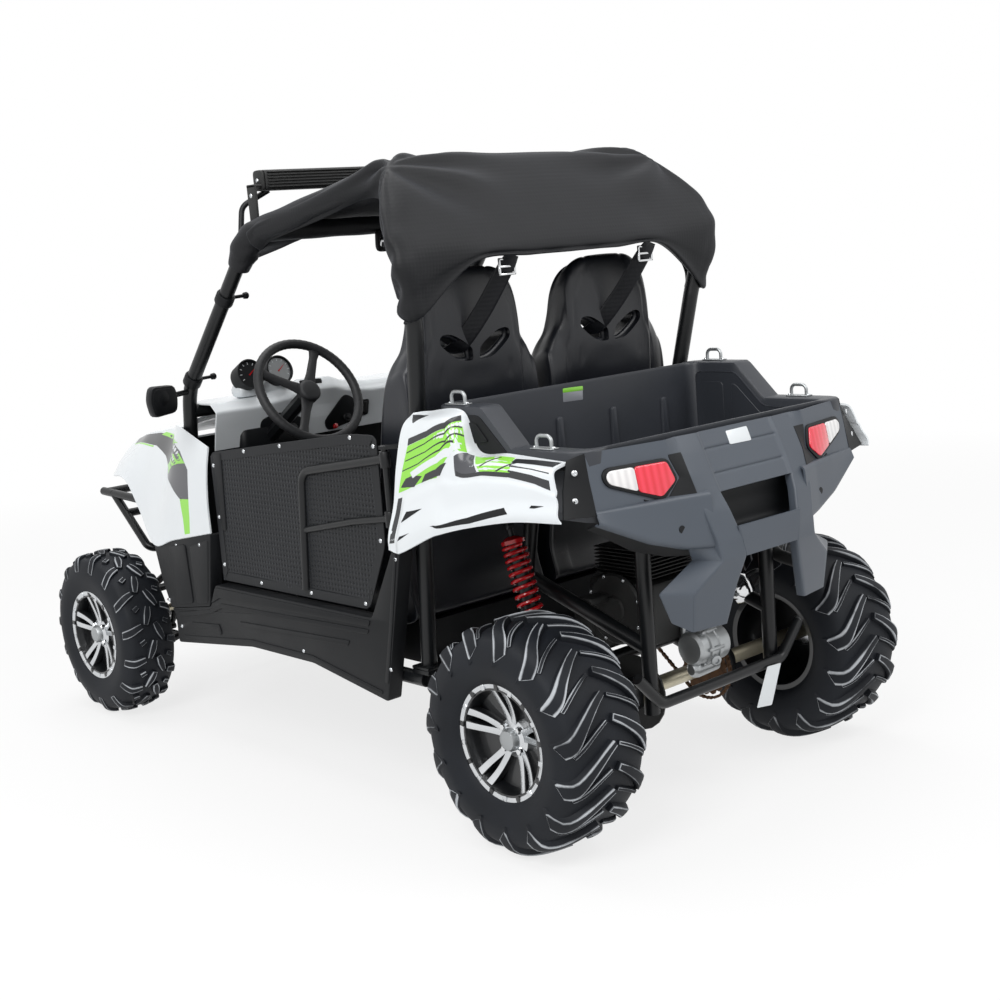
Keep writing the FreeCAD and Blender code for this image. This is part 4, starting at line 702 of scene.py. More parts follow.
# %% [markdown]
# ## Coil-over dampers
# A damper is a chromed rod in a black body inside a coil of red spring steel.
# The coil is a round wire carried along a helix: radius times cosine and sine of
# the turn, rising evenly. Its last turns close up, as a ground spring's do.

# %% Dampers
def damper(top, foot, radius, turns, wire):
    """Spring, body, rod, collars and eyes between two points, in the damper's own axes."""
    top, foot = np.asarray(top, float), np.asarray(foot, float)
    axis = top - foot
    length = np.linalg.norm(axis)
    axis /= length
    side = unit(np.cross(axis, [1, 0, 0]) if abs(axis[0]) < 0.9 else np.cross(axis, [0, 1, 0]))
    lift = np.cross(axis, side)

    def turned(profile):
        """A profile whose places are shares of the damper's length."""
        return lathe([(length * place, wide) for place, wide in profile], 32, foot, axis)

    share = np.linspace(0, 1, int(turns * 26))
    bend = 1.25 * share - 0.25 * share ** 2
    rise = length * (0.185 + 0.655 * bend)
    turn = share * turns * 2 * np.pi
    mid = radius - wire / 2
    line = foot + rise[:, None] * axis + mid * (np.cos(turn)[:, None] * side + np.sin(turn)[:, None] * lift)
    coil = solid(swept(line, circle(wire / 2, 10), across=axis))
    rod = turned([(0.1, 0.3), (0.1, 7), (0.5, 7), (0.5, 0.3)])
    body = turned([(0.42, 0.3), (0.42, 17), (0.44, 19), (0.86, 19), (0.88, 0.3)])
    low_seat = turned([(0.14, 0.3), (0.14, 15), (0.155, radius * 0.9), (0.175, radius * 0.9), (0.18, 0.3)])
    high_seat = turned([(0.85, 0.3), (0.85, radius * 0.92), (0.875, radius * 0.92), (0.9, 15), (0.9, 0.3)])
    cross = BACK if abs(axis[0]) > 0.3 else ACROSS
    eye = [(-11, 0.3), (-11, 9), (-10, 10.5), (10, 10.5), (11, 9), (11, 0.3)]
    eyes = [lathe(eye, 24, foot + axis * place, cross) for place in (11.5, length - 11.5)]
    ends = ((8, length * 0.15), (length * 0.88, length - 8))
    shanks = [lathe([(low, 0.3), (low, 8), (high, 8), (high, 0.3)], 20, foot, axis) for low, high in ends]
    return [(*coil, spring_red), (*rod, chrome), (*body, powder_black), (*low_seat, powder_black),
        (*high_seat, spring_red)] + [(*p, powder_black) for p in eyes + shanks]


piece("rear_dampers", both(damper((320, 760, 728.7), (320, 865, 353), 33, 13, 10)), spring_red, "chassis",
    ["rear_shocks"])
piece("front_dampers", both(damper((236, -945, 626.6), (342, -945, 219.9), 27, 11, 8)), spring_red,
    "chassis", ["front_shocks"])
print("dampers ready")

# %% [markdown]
# ## Moulded panels
# The body is thin ABS, drawn as a net of a few measured points. A smooth curve
# through the net gives the real crown of each panel, and a wall's thickness on
# its inner side makes it solid. Stripes are vinyl film: each one is the strip
# between two lines on the panel, laid on it and lifted by a film's thickness.

# %% Shells and films
def unit_normals(points):
    """The cross product of a grid's two directions, at length 1."""
    normal = np.cross(np.gradient(points, axis=1), np.gradient(points, axis=0))
    return unit(normal)


def end_faces(front, back, wide):
    """Faces that close a flattened ring: its points count up from the front and down from the back."""
    front, back = front + np.arange(wide), back - np.arange(wide)
    return np.stack([front[:-1], front[1:], back[1:], back[:-1]], axis=-1).tolist()


def shell(points, wall):
    """A grid of points, the same grid one wall inward, and a rounded strip along all four edges."""
    normal = unit_normals(points)
    inner = points - normal * wall
    over = unit(np.gradient(points, axis=1))
    low = ((points + inner) / 2 - over * abs(wall) * 0.4)[:, :1]
    high = ((points + inner) / 2 + over * abs(wall) * 0.4)[:, -1:]
    round_about = np.concatenate([points, high, inner[:, ::-1], low], axis=1)
    rows, columns = round_about.shape[:2]
    wide = points.shape[1]
    points_out, faces = surface(round_about, ring_columns=True)
    for start in (0, (rows - 1) * columns):
        faces += end_faces(start, start + 2 * wide, wide)
        faces += [[start, start + 2 * wide, start + 2 * wide + 1],
            [start + wide - 1, start + wide, start + wide + 1]]
    return points_out, faces


# %% Vinyl films
def film(net, side, upper, lower, bulge=None, lift=0.35, across=3):
    """The strip between two lines of (u, v) places on a net, lifted off it by a film's thickness.

    side is +1 or -1, the way the outside lies along the normal.
    """
    upper, lower = np.asarray(upper, float), np.asarray(lower, float)
    steps = np.linspace(0, len(upper) - 1, (len(upper) - 1) * 6 + 1)
    lines = [np.stack([np.interp(steps, np.arange(len(line)), line[:, k]) for k in (0, 1)], axis=-1)
        for line in (upper, lower)]
    share = np.linspace(0, 1, across + 2)[:, None, None]
    place = lines[0] * (1 - share) + lines[1] * share
    base = spread(net, place[..., 0], place[..., 1])
    normal = side * spread_normals(net, place[..., 0], place[..., 1])
    if bulge:
        base = base + normal * bulge(place[..., 0], place[..., 1])[..., None]
    top, under = base + normal * lift, base + normal * (lift - 0.9)
    points, faces = surface(np.concatenate([top, under[:, ::-1]], axis=1), ring_columns=True, caps=False)
    columns = top.shape[1]
    for start in (0, (len(top) - 1) * 2 * columns):
        faces += end_faces(start, start + 2 * columns - 1, columns)
    return points, faces


def spread(net, u, v):
    """Points of the smooth net at scattered (u, v): the curve is taken along v at each point's own u."""
    flat_u, flat_v = np.ravel(u), np.ravel(v)
    lines = curve(net, flat_u)
    found = np.stack([curve(line, flat_v[k:k + 1])[0] for k, line in enumerate(lines)])
    return found.reshape(*np.shape(u), 3)


def spread_normals(net, u, v):
    """Normals at scattered (u, v), from small steps along both."""
    step = 0.004
    along_v = spread(net, u, np.minimum(v + step, 1)) - spread(net, u, np.maximum(v - step, 0))
    along_u = spread(net, np.minimum(u + step, 1), v) - spread(net, np.maximum(u - step, 0), v)
    normal = np.cross(along_v, along_u)
    return unit(normal)


def panel(net, wall, u_count=64, v_count=32, bulge=None):
    """The smooth panel over its net, pushed out along its normal by the bulge, with its wall."""
    u, v = np.linspace(0, 1, u_count), np.linspace(0, 1, v_count)
    points = ease(net, u, v)
    if bulge:
        rise = bulge(*np.meshgrid(u, v, indexing="ij"))[..., None]
        points = points + unit_normals(points) * np.sign(wall) * rise
    return shell(points, wall)


def vinyl(name, colour, dark):
    """Screen-printed vinyl: a flat colour under a clear gloss film."""
    return grained(name, colour, dark, 0.3, grain=9, height=0.03, patch=120, spread=0.05,
        **{"Coat Weight": 0.3})


vinyl_green = vinyl("vinyl_lime_green", "#97E04C", "#8BD743")
vinyl_black = vinyl("vinyl_black", "#1B1D20", "#222428")
vinyl_grey = vinyl("vinyl_smoke_grey", "#3E3F44", "#4A4B50")
print("panel helpers ready")


# %% Rear quarter panels
quarter_net = []
for low_y, low_z, high_y, high_z, edge in ((593, 688, 668, 1024, 514), (640, 686, 720, 1029, 506),
                                           (760, 735, 838, 1031, 500), (800, 748, 886, 940, 500),
                                           (900, 772, 985, 938, 500), (1060, 800, 1095, 932, 500),
                                           (1214, 809, 1172, 928, 500)):
    quarter_net.append([(x, low_y + (high_y - low_y) * share, low_z + (high_z - low_z) * share)
                        for x, share in ((570, 0), (574, 0.12), (562, 0.34), (560, 0.62), (548, 0.9),
                        (edge, 1))])
arch_u, arch_v = np.array([(0.0, 0.40), (0.13, 0.462), (0.207, 0.485), (0.321, 0.495), (0.42, 0.575),
    (0.514, 0.665), (0.646, 0.669), (0.766, 0.659), (0.92, 0.602), (1.0, 0.53)]).T


def arch_bulge(u, v):
    """The wheel arch stands 7 mm proud below its curved line, with a soft step 0.05 of the height wide."""
    gap = np.interp(u, arch_u, arch_v) - v
    step = ramp(gap / 0.05)
    front = ramp((u - 0.12) / 0.05)
    return 7 * step * step * (3 - 2 * step) * front


def quarter_films(bulge):
    """A lime field crossed by thin lines, black bands above it and behind it, and dark vents in the arch."""
    green = [((0.134, 0.70), (0.244, 0.727), (0.326, 0.777), (0.364, 0.93)),
        ((0.068, 0.47), (0.207, 0.497), (0.321, 0.508), (0.478, 0.885))]
    black = [
        [((0.02, 0.965), (0.11, 0.95), (0.195, 0.93)), ((0.122, 0.84), (0.128, 0.838), (0.133, 0.835))],
        [((0.132, 0.736), (0.239, 0.763), (0.312, 0.819), (0.342, 0.957)),
         ((0.134, 0.702), (0.244, 0.729), (0.326, 0.779), (0.364, 0.93))],
        [((0.484, 0.70), (0.624, 0.718), (0.77, 0.72)), ((0.496, 0.67), (0.644, 0.68), (0.766, 0.672))],
        [((0.735, 0.92), (0.825, 0.955), (0.975, 0.97)), ((0.766, 0.675), (0.90, 0.62), (0.978, 0.555))],
        [((0.068, 0.44), (0.125, 0.45)), ((0.02, 0.10), (0.105, 0.14))],
        [((0.15, 0.545), (0.20, 0.555), (0.245, 0.535)), ((0.10, 0.50), (0.17, 0.50), (0.21, 0.492))],
        [((0.26, 0.54), (0.31, 0.555), (0.385, 0.63)), ((0.245, 0.50), (0.30, 0.508), (0.345, 0.525))],
    ]
    lines = [[((0.128, 0.634), (0.25, 0.66), (0.345, 0.72), (0.415, 0.91)),
             ((0.128, 0.628), (0.25, 0.654), (0.349, 0.712), (0.42, 0.905))],
             [((0.134, 0.672), (0.24, 0.70), (0.33, 0.755), (0.385, 0.915)),
              ((0.134, 0.666), (0.24, 0.694), (0.334, 0.747), (0.39, 0.91))],
             [((0.105, 0.585), (0.22, 0.61), (0.32, 0.665), (0.40, 0.79)),
              ((0.105, 0.579), (0.22, 0.604), (0.323, 0.657), (0.404, 0.78))],
             [((0.606, 0.775), (0.663, 0.92)), ((0.615, 0.768), (0.672, 0.914))],
             [((0.701, 0.725), (0.761, 0.855)), ((0.711, 0.722), (0.77, 0.85))]]
    vents = [[((0.192, 0.361), (0.274, 0.338)), ((0.169, 0.30), (0.172, 0.30))],
             [((0.177, 0.201), (0.23, 0.196)), ((0.157, 0.163), (0.16, 0.163))],
             [((0.90, 0.331), (0.95, 0.331)), ((0.896, 0.29), (0.915, 0.29))],
             [((0.35, 0.168), (0.669, 0.221), (0.798, 0.301)),
              ((0.431, 0.155), (0.683, 0.128), (0.82, 0.206))]]

    def strip(pair, material, lift=0.35):
        """One film between the pair's two lines."""
        return (*film(quarter_net, -1, *pair, bulge, lift), material)

    behind = (((0.519, 0.92), (0.726, 0.94)), ((0.624, 0.718), (0.77, 0.721)))
    grey = (((0.437, 0.74), (0.48, 0.885), (0.512, 0.92)), ((0.49, 0.665), (0.56, 0.69), (0.61, 0.72)))
    white = (((0.18, 0.572), (0.30, 0.625), (0.385, 0.715), (0.434, 0.865)),
             ((0.199, 0.54), (0.315, 0.59), (0.40, 0.68), (0.452, 0.85)))
    films = [strip(green, vinyl_green), strip(behind, vinyl_green), strip(grey, vinyl_grey, 0.4),
             strip(white, white_abs, 0.55)]
    films += [strip(pair, vinyl_black, 0.45) for pair in black + lines]
    films += [strip(pair, black_pp, 0.5) for pair in vents]
    return films


quarter = [(*panel(quarter_net, -5, 96, 56, arch_bulge), white_abs)] + quarter_films(arch_bulge)
for side, turn in SIDES:
    piece(f"quarter_shell_{side}", [turn(part) for part in quarter], white_abs, "chassis",
        [f"quarter_panel_{side}"], smooth=40)
print("films on each rear quarter:", len(quarter) - 1)

# %% Front fenders, hood and nose
fender_net = []
for y, x0, z0, x1, z1 in ((-1115, 310.6, 840, 392, 752), (-1030, 334.6, 862, 440, 756),
                          (-943, 357.2, 881, 462, 762), (-868, 382.8, 895, 478, 738),
                          (-755, 404.8, 910, 508, 664), (-596, 433.2, 929.6, 561, 588),
                          (-468, 506, 950, 564, 614), (-255, 540, 900, 562, 653)):
    fender_net.append([(x0, y, z0), (x0 * 0.72 + x1 * 0.28 + 8, y, z0 * 0.72 + z1 * 0.28),
        (x0 * 0.35 + x1 * 0.65 + 8, y, z0 * 0.35 + z1 * 0.65), (x1, y, z1)])
fender_strips = [
    (((0.18, 0.03), (0.40, 0.03), (0.589, 0.033), (0.80, 0.13), (0.89, 0.244)),
     ((0.20, 0.20), (0.38, 0.22), (0.586, 0.214), (0.68, 0.30), (0.76, 0.44)), 0.35, vinyl_black),
    (((0.89, 0.244), (0.927, 0.391), (0.93, 0.645)),
     ((0.76, 0.44), (0.84, 0.54), (0.895, 0.65)), 0.35, vinyl_grey),
    (((0.93, 0.645), (0.93, 0.82), (0.927, 0.97)),
     ((0.895, 0.65), (0.905, 0.82), (0.908, 0.97)), 0.35, vinyl_green),
    (((0.628, 0.03), (0.70, 0.07), (0.875, 0.17)),
     ((0.60, 0.06), (0.70, 0.12), (0.83, 0.20)), 0.5, vinyl_green),
    (((0.885, 0.27), (0.915, 0.34)), ((0.72, 0.37), (0.79, 0.45)), 0.5, vinyl_green),
    (((0.20, 0.21), (0.38, 0.23), (0.56, 0.224)),
     ((0.21, 0.235), (0.38, 0.255), (0.56, 0.245)), 0.5, vinyl_green),
]
fender_films = [(*film(fender_net, 1, upper, lower, None, lift), material)
    for upper, lower, lift, material in fender_strips]
fender = [(*panel(fender_net, 5, 90, 40), white_abs)] + fender_films
for side, turn in SIDES:
    piece(f"fender_shell_{side}", [turn(part) for part in fender], white_abs, "chassis",
        [f"front_fender_{side}"], smooth=40)


def hood_crown(u, v):
    """A soft ridge 5 mm high down the middle of the hood, that fades out at both ends."""
    return 5 * np.exp(-((v - 0.5) / 0.16) ** 4) * ramp(u * 4) * ramp((1 - u) * 6)


hood_net = [[(x * half, y, edge + rise * (1 - x * x)) for x in (-1, -0.7, -0.25, 0.25, 0.7, 1)]
            for y, half, edge, rise in
            ((-1150, 296, 832, 14), (-1030, 330, 862, 20), (-930, 356, 884, 24), (-850, 382, 898, 26),
             (-577, 432, 932, 34), (-470, 444, 962, 34))]
piece("hood_shell", [(*panel(hood_net, 5, 60, 60, hood_crown), white_abs)], white_abs, "chassis",
    ["hood"], smooth=40)
nose_net = [[(x * half, y + 46 * x * x, z) for x in (-1, -0.6, -0.2, 0.2, 0.6, 1)] for z, half, y in
            ((826, 296, -1152), (770, 310, -1168), (690, 292, -1152), (600, 250, -1113.6),
             (560, 240, -1107.6))]
piece("nose_shell", [(*panel(nose_net, -5, 48, 48), white_abs)], white_abs, "chassis", ["nose"],
    smooth=40)
print("panels ready")

# %% [markdown]
# ## Canvas
# The roof is one sheet of coated canvas. It lies over the two roof rails, turns
# down over the ridge, is rolled round a bar at its rear hem, and wraps each leg
# of the hoop. The net below gives where the cloth touches something; between
# those lines it is pulled tight, so it sags by millimetres and folds only where
# the pull runs into a corner.

# %% Woven cloth and webbing
def woven(name, base, shade, pitch, depth, roughness, sheen):
    """Plain weave in bump: bands along X times bands along Y, plus bands along Z.

    A wave texture's band is 0.1 pi / scale wide, so these are 2 pi times the yarn's pitch apart:
    the true weave is too fine to show. The colour fades in soft patches.
    """
    material, tree, place = new_material(name)
    broad = add(tree, "ShaderNodeTexNoise", {"Vector": place, "Scale": 5.0, "Detail": 5.0})
    yarn = [add(tree, "ShaderNodeTexWave", {"Vector": place, "Scale": 1000 / pitch / 20, "Distortion": 0.6,
        "Detail": 1.0}, bands_direction=way) for way in ("X", "Y", "Z")]
    cross = add(tree, "ShaderNodeMath", {0: yarn[0].outputs["Fac"], 1: yarn[1].outputs["Fac"]},
        operation="MULTIPLY")
    cross = add(tree, "ShaderNodeMath", {0: cross.outputs[0], 1: yarn[2].outputs["Fac"]}, operation="ADD")
    tint = add(tree, "ShaderNodeMix", {0: broad.outputs["Fac"], 6: paint(base), 7: paint(shade)},
        data_type="RGBA")
    finish(tree, tint.outputs[2], cross.outputs[0], depth, 0.5, Roughness=roughness,
           **{"Sheen Weight": sheen, "Sheen Roughness": 0.45, "Sheen Tint": paint("#8890A4"),
           "Specular IOR Level": 0.3})
    return material


canvas = woven("canvas_coated_polyester", "#0D0E10", "#16171A", 1.6, 0.25, 0.58, 0.1)
webbing = woven("webbing_polyester", "#121316", "#1B1C20", 1.8, 0.3, 0.5, 0.15)
door_cloth = woven("net_coated_polyester", "#0E0F11", "#16181A", 2.0, 0.25, 0.55, 0.1)
print("cloths:", canvas.name, webbing.name, door_cloth.name)


# %% Roof canvas
def mirrored_row(row):
    """One line across the roof: the left half as written, then the right half in reverse."""
    right = [(-x, y, z) for x, y, z in row[-2::-1]]
    return list(row) + right


roof_rows = [
    [(450, -14, 1442), (484, -12, 1468), (468, -10, 1504), (300, -8, 1511), (150, -8, 1513), (0, -8, 1514)],
    [(446, 60, 1468), (478, 60, 1499), (458, 60, 1530), (300, 60, 1533), (150, 60, 1533), (0, 60, 1533)],
    [(430, 250, 1508), (460, 250, 1539), (441, 250, 1572), (300, 250, 1573), (150, 250, 1572),
     (0, 250, 1572)],
    [(418, 430, 1544), (446, 430, 1576), (429, 430, 1610), (300, 430, 1612), (150, 430, 1611),
     (0, 430, 1611)],
    [(424, 516, 1530), (449, 518, 1588), (430, 522, 1630), (300, 524, 1634), (150, 524, 1633),
     (0, 524, 1633)],
    [(450, 556, 1486), (472, 572, 1560), (448, 580, 1627), (300, 586, 1634), (150, 588, 1633),
     (0, 588, 1633)],
    [(484, 600, 1410), (518, 624, 1496), (500, 642, 1566), (300, 642, 1571), (150, 642, 1570),
     (0, 642, 1570)],
    [(506, 640, 1345), (558, 684, 1424), (544, 708, 1480), (300, 702, 1483), (150, 702, 1482),
     (0, 702, 1482)],
    [(516, 662, 1290), (560, 704, 1345), (548, 748, 1392), (320, 746, 1412), (150, 747, 1410),
     (0, 747, 1410)],
    [(508, 668, 1250), (540, 690, 1247), (512, 730, 1262), (340, 750, 1374), (150, 752, 1378),
     (0, 752, 1378)],
    [(500, 674, 1252), (520, 694, 1251), (502, 716, 1264), (338, 726, 1374), (150, 728, 1378),
     (0, 728, 1378)],
]
print("roof net:", len(roof_rows), "lines across the roof")


# %% Folds and seams
canvas_u, canvas_v = np.linspace(0, 1, 150), np.linspace(0, 1, 190)
cloth = ease([mirrored_row(row) for row in roof_rows], canvas_u, canvas_v)
cloth_normal = unit_normals(cloth)
u_grid, v_grid = np.meshgrid(canvas_u, canvas_v, indexing="ij")
side_share = np.abs(v_grid - 0.5) * 2
from_corner = np.hypot((u_grid - 0.53) * 2.2, (side_share - 0.62) * 1.2)
spoke_turn = np.arctan2(side_share - 0.62, (u_grid - 0.53) * 1.8)
pulled = 8.5 * np.sin(spoke_turn * 9 + 2.2 * np.sin(v_grid * 5)) * np.exp(-((from_corner - 0.3) / 0.2) ** 2)
leg = ramp((u_grid - 0.62) / 0.2) * ramp((side_share - 0.55) / 0.2)
gathered = 7 * np.sin(u_grid * 75 + side_share * 16 + 3 * np.sin(v_grid * 8)) * leg
gathered = gathered * ramp((0.97 - u_grid) / 0.05)
span = -7 * np.sin(ramp((u_grid - 0.02) / 0.44) * np.pi) * ramp(1 - side_share / 0.55) ** 0.7
rear_span = -9 * np.sin(ramp((u_grid - 0.5) / 0.32) * np.pi) * ramp(1 - side_share / 0.6) ** 0.8
towards_side = np.clip(side_share * 1.5, 0.15, 1)
crease = 2.6 * np.sin(u_grid * 23 - v_grid * 31) * np.sin(v_grid * 17 + 2) * towards_side
rail_roll = 0.8 * np.exp(-((side_share - 0.66) / 0.012) ** 2)
hem_roll = 7 * np.exp(-((u_grid - 0.875) / 0.028) ** 2) * ramp((0.62 - side_share) / 0.1)
hem_roll = hem_roll * (1 + 0.25 * np.sin(v_grid * 60))
folds = pulled + gathered + span + rear_span + crease + rail_roll + hem_roll
cloth = cloth + cloth_normal * folds[..., None]
seams = 1.2 * (np.exp(-((side_share - 0.58) / 0.006) ** 2) + np.exp(-((u_grid - 0.492) / 0.005) ** 2)
    + np.exp(-((u_grid - 0.86) / 0.006) ** 2))
cloth = cloth + cloth_normal * seams[..., None]
roof = piece("canopy_canvas", [surface(cloth)], canvas, "chassis", ["canopy"], smooth=60,
    fix=False)
print("canvas folds reach", round(float(np.abs(folds).max()), 1), "mm")


# %% Cloth size and thickness
def cloth_size(points):
    """Lengths of the middle lines both ways, and the area of all the cells, in metres."""
    length = np.linalg.norm(np.diff(points, axis=0), axis=-1).sum(axis=0).max()
    width = np.linalg.norm(np.diff(points, axis=1), axis=-1).sum(axis=1).max()
    one, two = points[1:, 1:] - points[:-1, :-1], points[1:, :-1] - points[:-1, 1:]
    area = np.linalg.norm(np.cross(one, two), axis=-1).sum() / 2
    return width * MM, length * MM, area * MM * MM


def thick(item, wall):
    """Gives a sheet its cloth's thickness, to both sides of its middle."""
    layer = item.modifiers.new("cloth", "SOLIDIFY")
    layer.thickness = wall * MM
    layer.offset = 0
    return item


thick(roof, 1.4)


# %% Padded sleeves on the windscreen pillars, and the header's skirt
def sleeve(path, radii, ripple, turns=28):
    """A sewn sleeve round a tube: its radius follows the path and ripples where the ties pull it in."""
    share = np.linspace(0, 1, 90)
    line = curve(path, share)
    radius = np.interp(share, np.linspace(0, 1, len(radii)), radii)
    turn = one_turn(turns)
    slow, fast = share[:, None] * 13 + turn[None], turn[None] * 3 + share[:, None] * 21
    wave = 1 + ripple * np.sin(fast) * np.sin(slow)
    ring = np.stack([np.cos(turn), np.sin(turn)], axis=-1)[None] * (radius[:, None] * wave)[..., None]
    return solid(swept(line, ring, across=ACROSS))


rail_cloth = sleeve([(461, -112, 1402), (459, -80, 1442), (455, -35, 1482), (446, 30, 1502),
    (436, 180, 1532), (420, 380, 1574), (409, 520, 1602)], [30, 40, 38, 36, 33, 30, 27], 0.06)
header_cloth = sleeve([(-440, 20, 1490), (0, 20, 1489), (440, 20, 1490)], [27, 25, 27], 0.05)
gusset_rows = [[(459, -95, 1412), (452, -55, 1430), (440, -5, 1452), (425, 12, 1470)],
               [(420, -60, 1428), (405, -30, 1444), (390, -2, 1460), (380, 12, 1474)],
               [(340, -6, 1458), (325, 0, 1464), (315, 6, 1470), (310, 12, 1478)]]
gusset = shell(ease(gusset_rows, np.linspace(0, 1, 16), np.linspace(0, 1, 12)), 3)
for name, parts in (("pillar_sleeve_left", [rail_cloth]),
        ("pillar_sleeve_right", [other_side(rail_cloth)]), ("header_sleeve", [header_cloth])):
    piece(name, parts, canvas, "chassis", smooth=60)
piece("header_gussets", both([gusset]), canvas, "chassis", smooth=60)
print("sleeves ready")

# %% [markdown]
# ## Seats
# Each seat is one bucket skinned in vinyl over foam. Its outline is a net of
# closed rings, one for each place across the seat: the sides stand up as
# bolsters, the shoulders step in to a narrow head, and the back carries two
# rounded slots for a harness, each with a sewn rim.

# %% Seats
def seat_ring(share, bolster, top, base):
    """The seat's side view at a place across it: twelve points from the front edge to the back's foot. share
    is not used.
    """
    lean = (top - 600) / 10
    middle = top * 0.6 + 280
    return [(64, base), (46, base + 66), (78, base + 128 + bolster * 0.8),
            (400 - bolster, base + 100 + bolster), (452 - bolster, base + 180),
            (480 - bolster + lean * 0.5, middle), (470 - bolster * 0.4 + lean, top - 26),
            (486 + lean, top), (545 + lean * 0.9, top), (560 + lean * 0.7, middle),
            (545, base + 130), (520, base)]


def seat_surface():
    """The bucket as a closed grid of rings across the seat, drawn in to a rounded edge at both sides."""
    base = 470.3
    stations = [(0.998, 20, 1062, 0.86), (1, 24, 1085, 1), (0.94, 44, 1112, 1), (0.88, 48, 1135, 1),
                (0.78, 26, 1168, 1), (0.725, 12, 1215, 1), (0.69, 4, 1268, 1),
                (0.6, 0, 1306, 1), (0.44, -3, 1331, 1), (0.2, -5, 1338, 1)]
    stations = [(-s, b, t, k) for s, b, t, k in stations] + stations[::-1]
    rings = []
    for share, bolster, top, scale in stations:
        ring = np.array(seat_ring(share, bolster, top, base))
        centre = ring.mean(axis=0)
        ring = centre + (ring - centre) * scale
        rings.append([(250 + 225 * share, y, z) for y, z in ring])
    return ease(rings, np.linspace(0, 1, 120), np.linspace(0, 1, 200, endpoint=False), ring=True)


# %% Seams and harness slots
def grooves(points):
    """Depth of the sewn channels: across the lap, beside the bolsters and round the head's rim behind."""
    x, y, z = points[..., 0] - 250, points[..., 1], points[..., 2]
    front = y < np.interp(z, [470, 700, 1340], [560, 500, 552])
    depth = np.zeros(x.shape)
    for line, wide in ((np.abs(x) - 150, 5), (np.abs(x) - 60, 4)):
        depth += 5 * np.exp(-(line / wide) ** 2) * front * (z < 1150)
    for place in (720, 830, 940, 1050):
        depth += 4 * np.exp(-((z - place) / 6) ** 2) * front * (np.abs(x) < 150)
    for place in (190, 290, 390):
        depth += 4 * np.exp(-((y - place) / 6) ** 2) * (z > 560) * (z < 640) * (np.abs(x) < 150)
    rim = np.interp(z, [1120, 1180, 1250, 1310, 1336], [168, 138, 136, 108, 70])
    depth += 3 * np.exp(-((np.abs(x) - rim) / 5) ** 2) * ~front * (z > 900)
    depth += 2.5 * np.exp(-((z - 1080 - 0.12 * np.abs(x)) / 5) ** 2) * ~front * (np.abs(x) < 140)
    return depth


slot_line = np.array([(16, 1124), (60, 1130), (112, 1166), (118, 1186), (104, 1196), (70, 1190),
                      (20, 1160), (12, 1140)])


def slot_frame(sign):
    """The padded rim round one slot: a rounded bar carried along the slot's outline."""
    line = curve(slot_line, np.linspace(0, 1, 60, endpoint=False), True)
    path = np.stack([250 + sign * line[:, 0], np.interp(line[:, 1], [1120, 1200], [590.5, 596.5]),
        line[:, 1]], axis=-1)
    return surface(swept(path, circle(1, 10) * [9, 8], closed=True, across=BACK), ring_rows=True,
        ring_columns=True)


def slot_hole(sign, low=380, high=700):
    """A prism through the back, whose outline is the slot's."""
    line = curve(slot_line, np.linspace(0, 1, 40, endpoint=False), True)
    rows = np.stack([np.stack([250 + sign * line[:, 0], np.full(40, y), line[:, 1]], axis=-1)
        for y in (low, high)])
    return solid(rows)


seat_points = seat_surface()
seat_points = seat_points + unit_normals(seat_points) * grooves(seat_points)[..., None]
print("seat grid:", seat_points.shape[:2])


# %% The two seats
def carved(item, tools):
    """Cuts the slots out of the shell and keeps the result as the mesh."""
    cutter = piece(item.name + "_cutter", tools, seat_vinyl, None)
    step = item.modifiers.new("slots", "BOOLEAN")
    step.operation, step.solver, step.object = "DIFFERENCE", "EXACT", cutter
    bpy.context.view_layer.update()
    shaped = bpy.data.meshes.new_from_object(item.evaluated_get(bpy.context.evaluated_depsgraph_get()))
    item.modifiers.clear()
    item.data = shaped
    bpy.data.objects.remove(cutter)
    shaped.set_sharp_from_angle(angle=math.radians(50))
    return item


for side, turn in SIDES:
    shell_part = turn(solid(seat_points))
    seat = carved(piece(f"seat_{side}_bucket", [shell_part], seat_vinyl, "chassis", [f"seat_{side}"],
        smooth=50), [turn(slot_hole(s)) for s in (1, -1)])
    piece(f"seat_{side}_slot_rims", [turn(slot_frame(s)) for s in (1, -1)], seat_vinyl,
        "chassis", smooth=60)
print("seats ready")

# %% [markdown]
# ## Harness straps
# A strap is flat webbing. It hangs from the bar in the rear hem through a bright
# buckle, comes down behind the seat and passes forward through a slot.

# %% Straps
def strap(name, line, width, twist=0.0):
    """Webbing carried along its line: the width lies along X and turns by the twist, most at mid length."""
    line = curve(line, np.linspace(0, 1, 60))
    heading = unit(np.gradient(line, axis=0))
    turn = np.sin(np.linspace(0, np.pi, 60))[:, None] * twist
    flat = unit(np.cross(heading, np.cross([1.0, 0, 0], heading)))
    flat = flat * np.cos(turn) + np.cross(heading, flat) * np.sin(turn)
    share = np.linspace(-0.5, 0.5, 9)
    points = line[:, None] + flat[:, None] * share[None, :, None] * width
    item = piece(name, [surface(points)], webbing, "chassis", smooth=60, fix=False)
    wide, long, area = cloth_size(points)
    thick(item, 2.2)
    return item


def buckle(centre, width):
    """A pressed steel slide: a rounded rectangle of flat bar with its middle bar."""
    x, y, z = centre
    half = width / 2
    bars = ((-half, half, -22, -16, 3), (-half, half, 16, 22, 3), (-half, -half + 6, -22, 22, 3),
            (half - 6, half, -22, 22, 3), (-half, half, -3, 3, 2))
    return [box_part((x + left, y - deep, z + low), (x + right, y + deep, z + high), 2)
            for left, right, low, high, deep in bars]


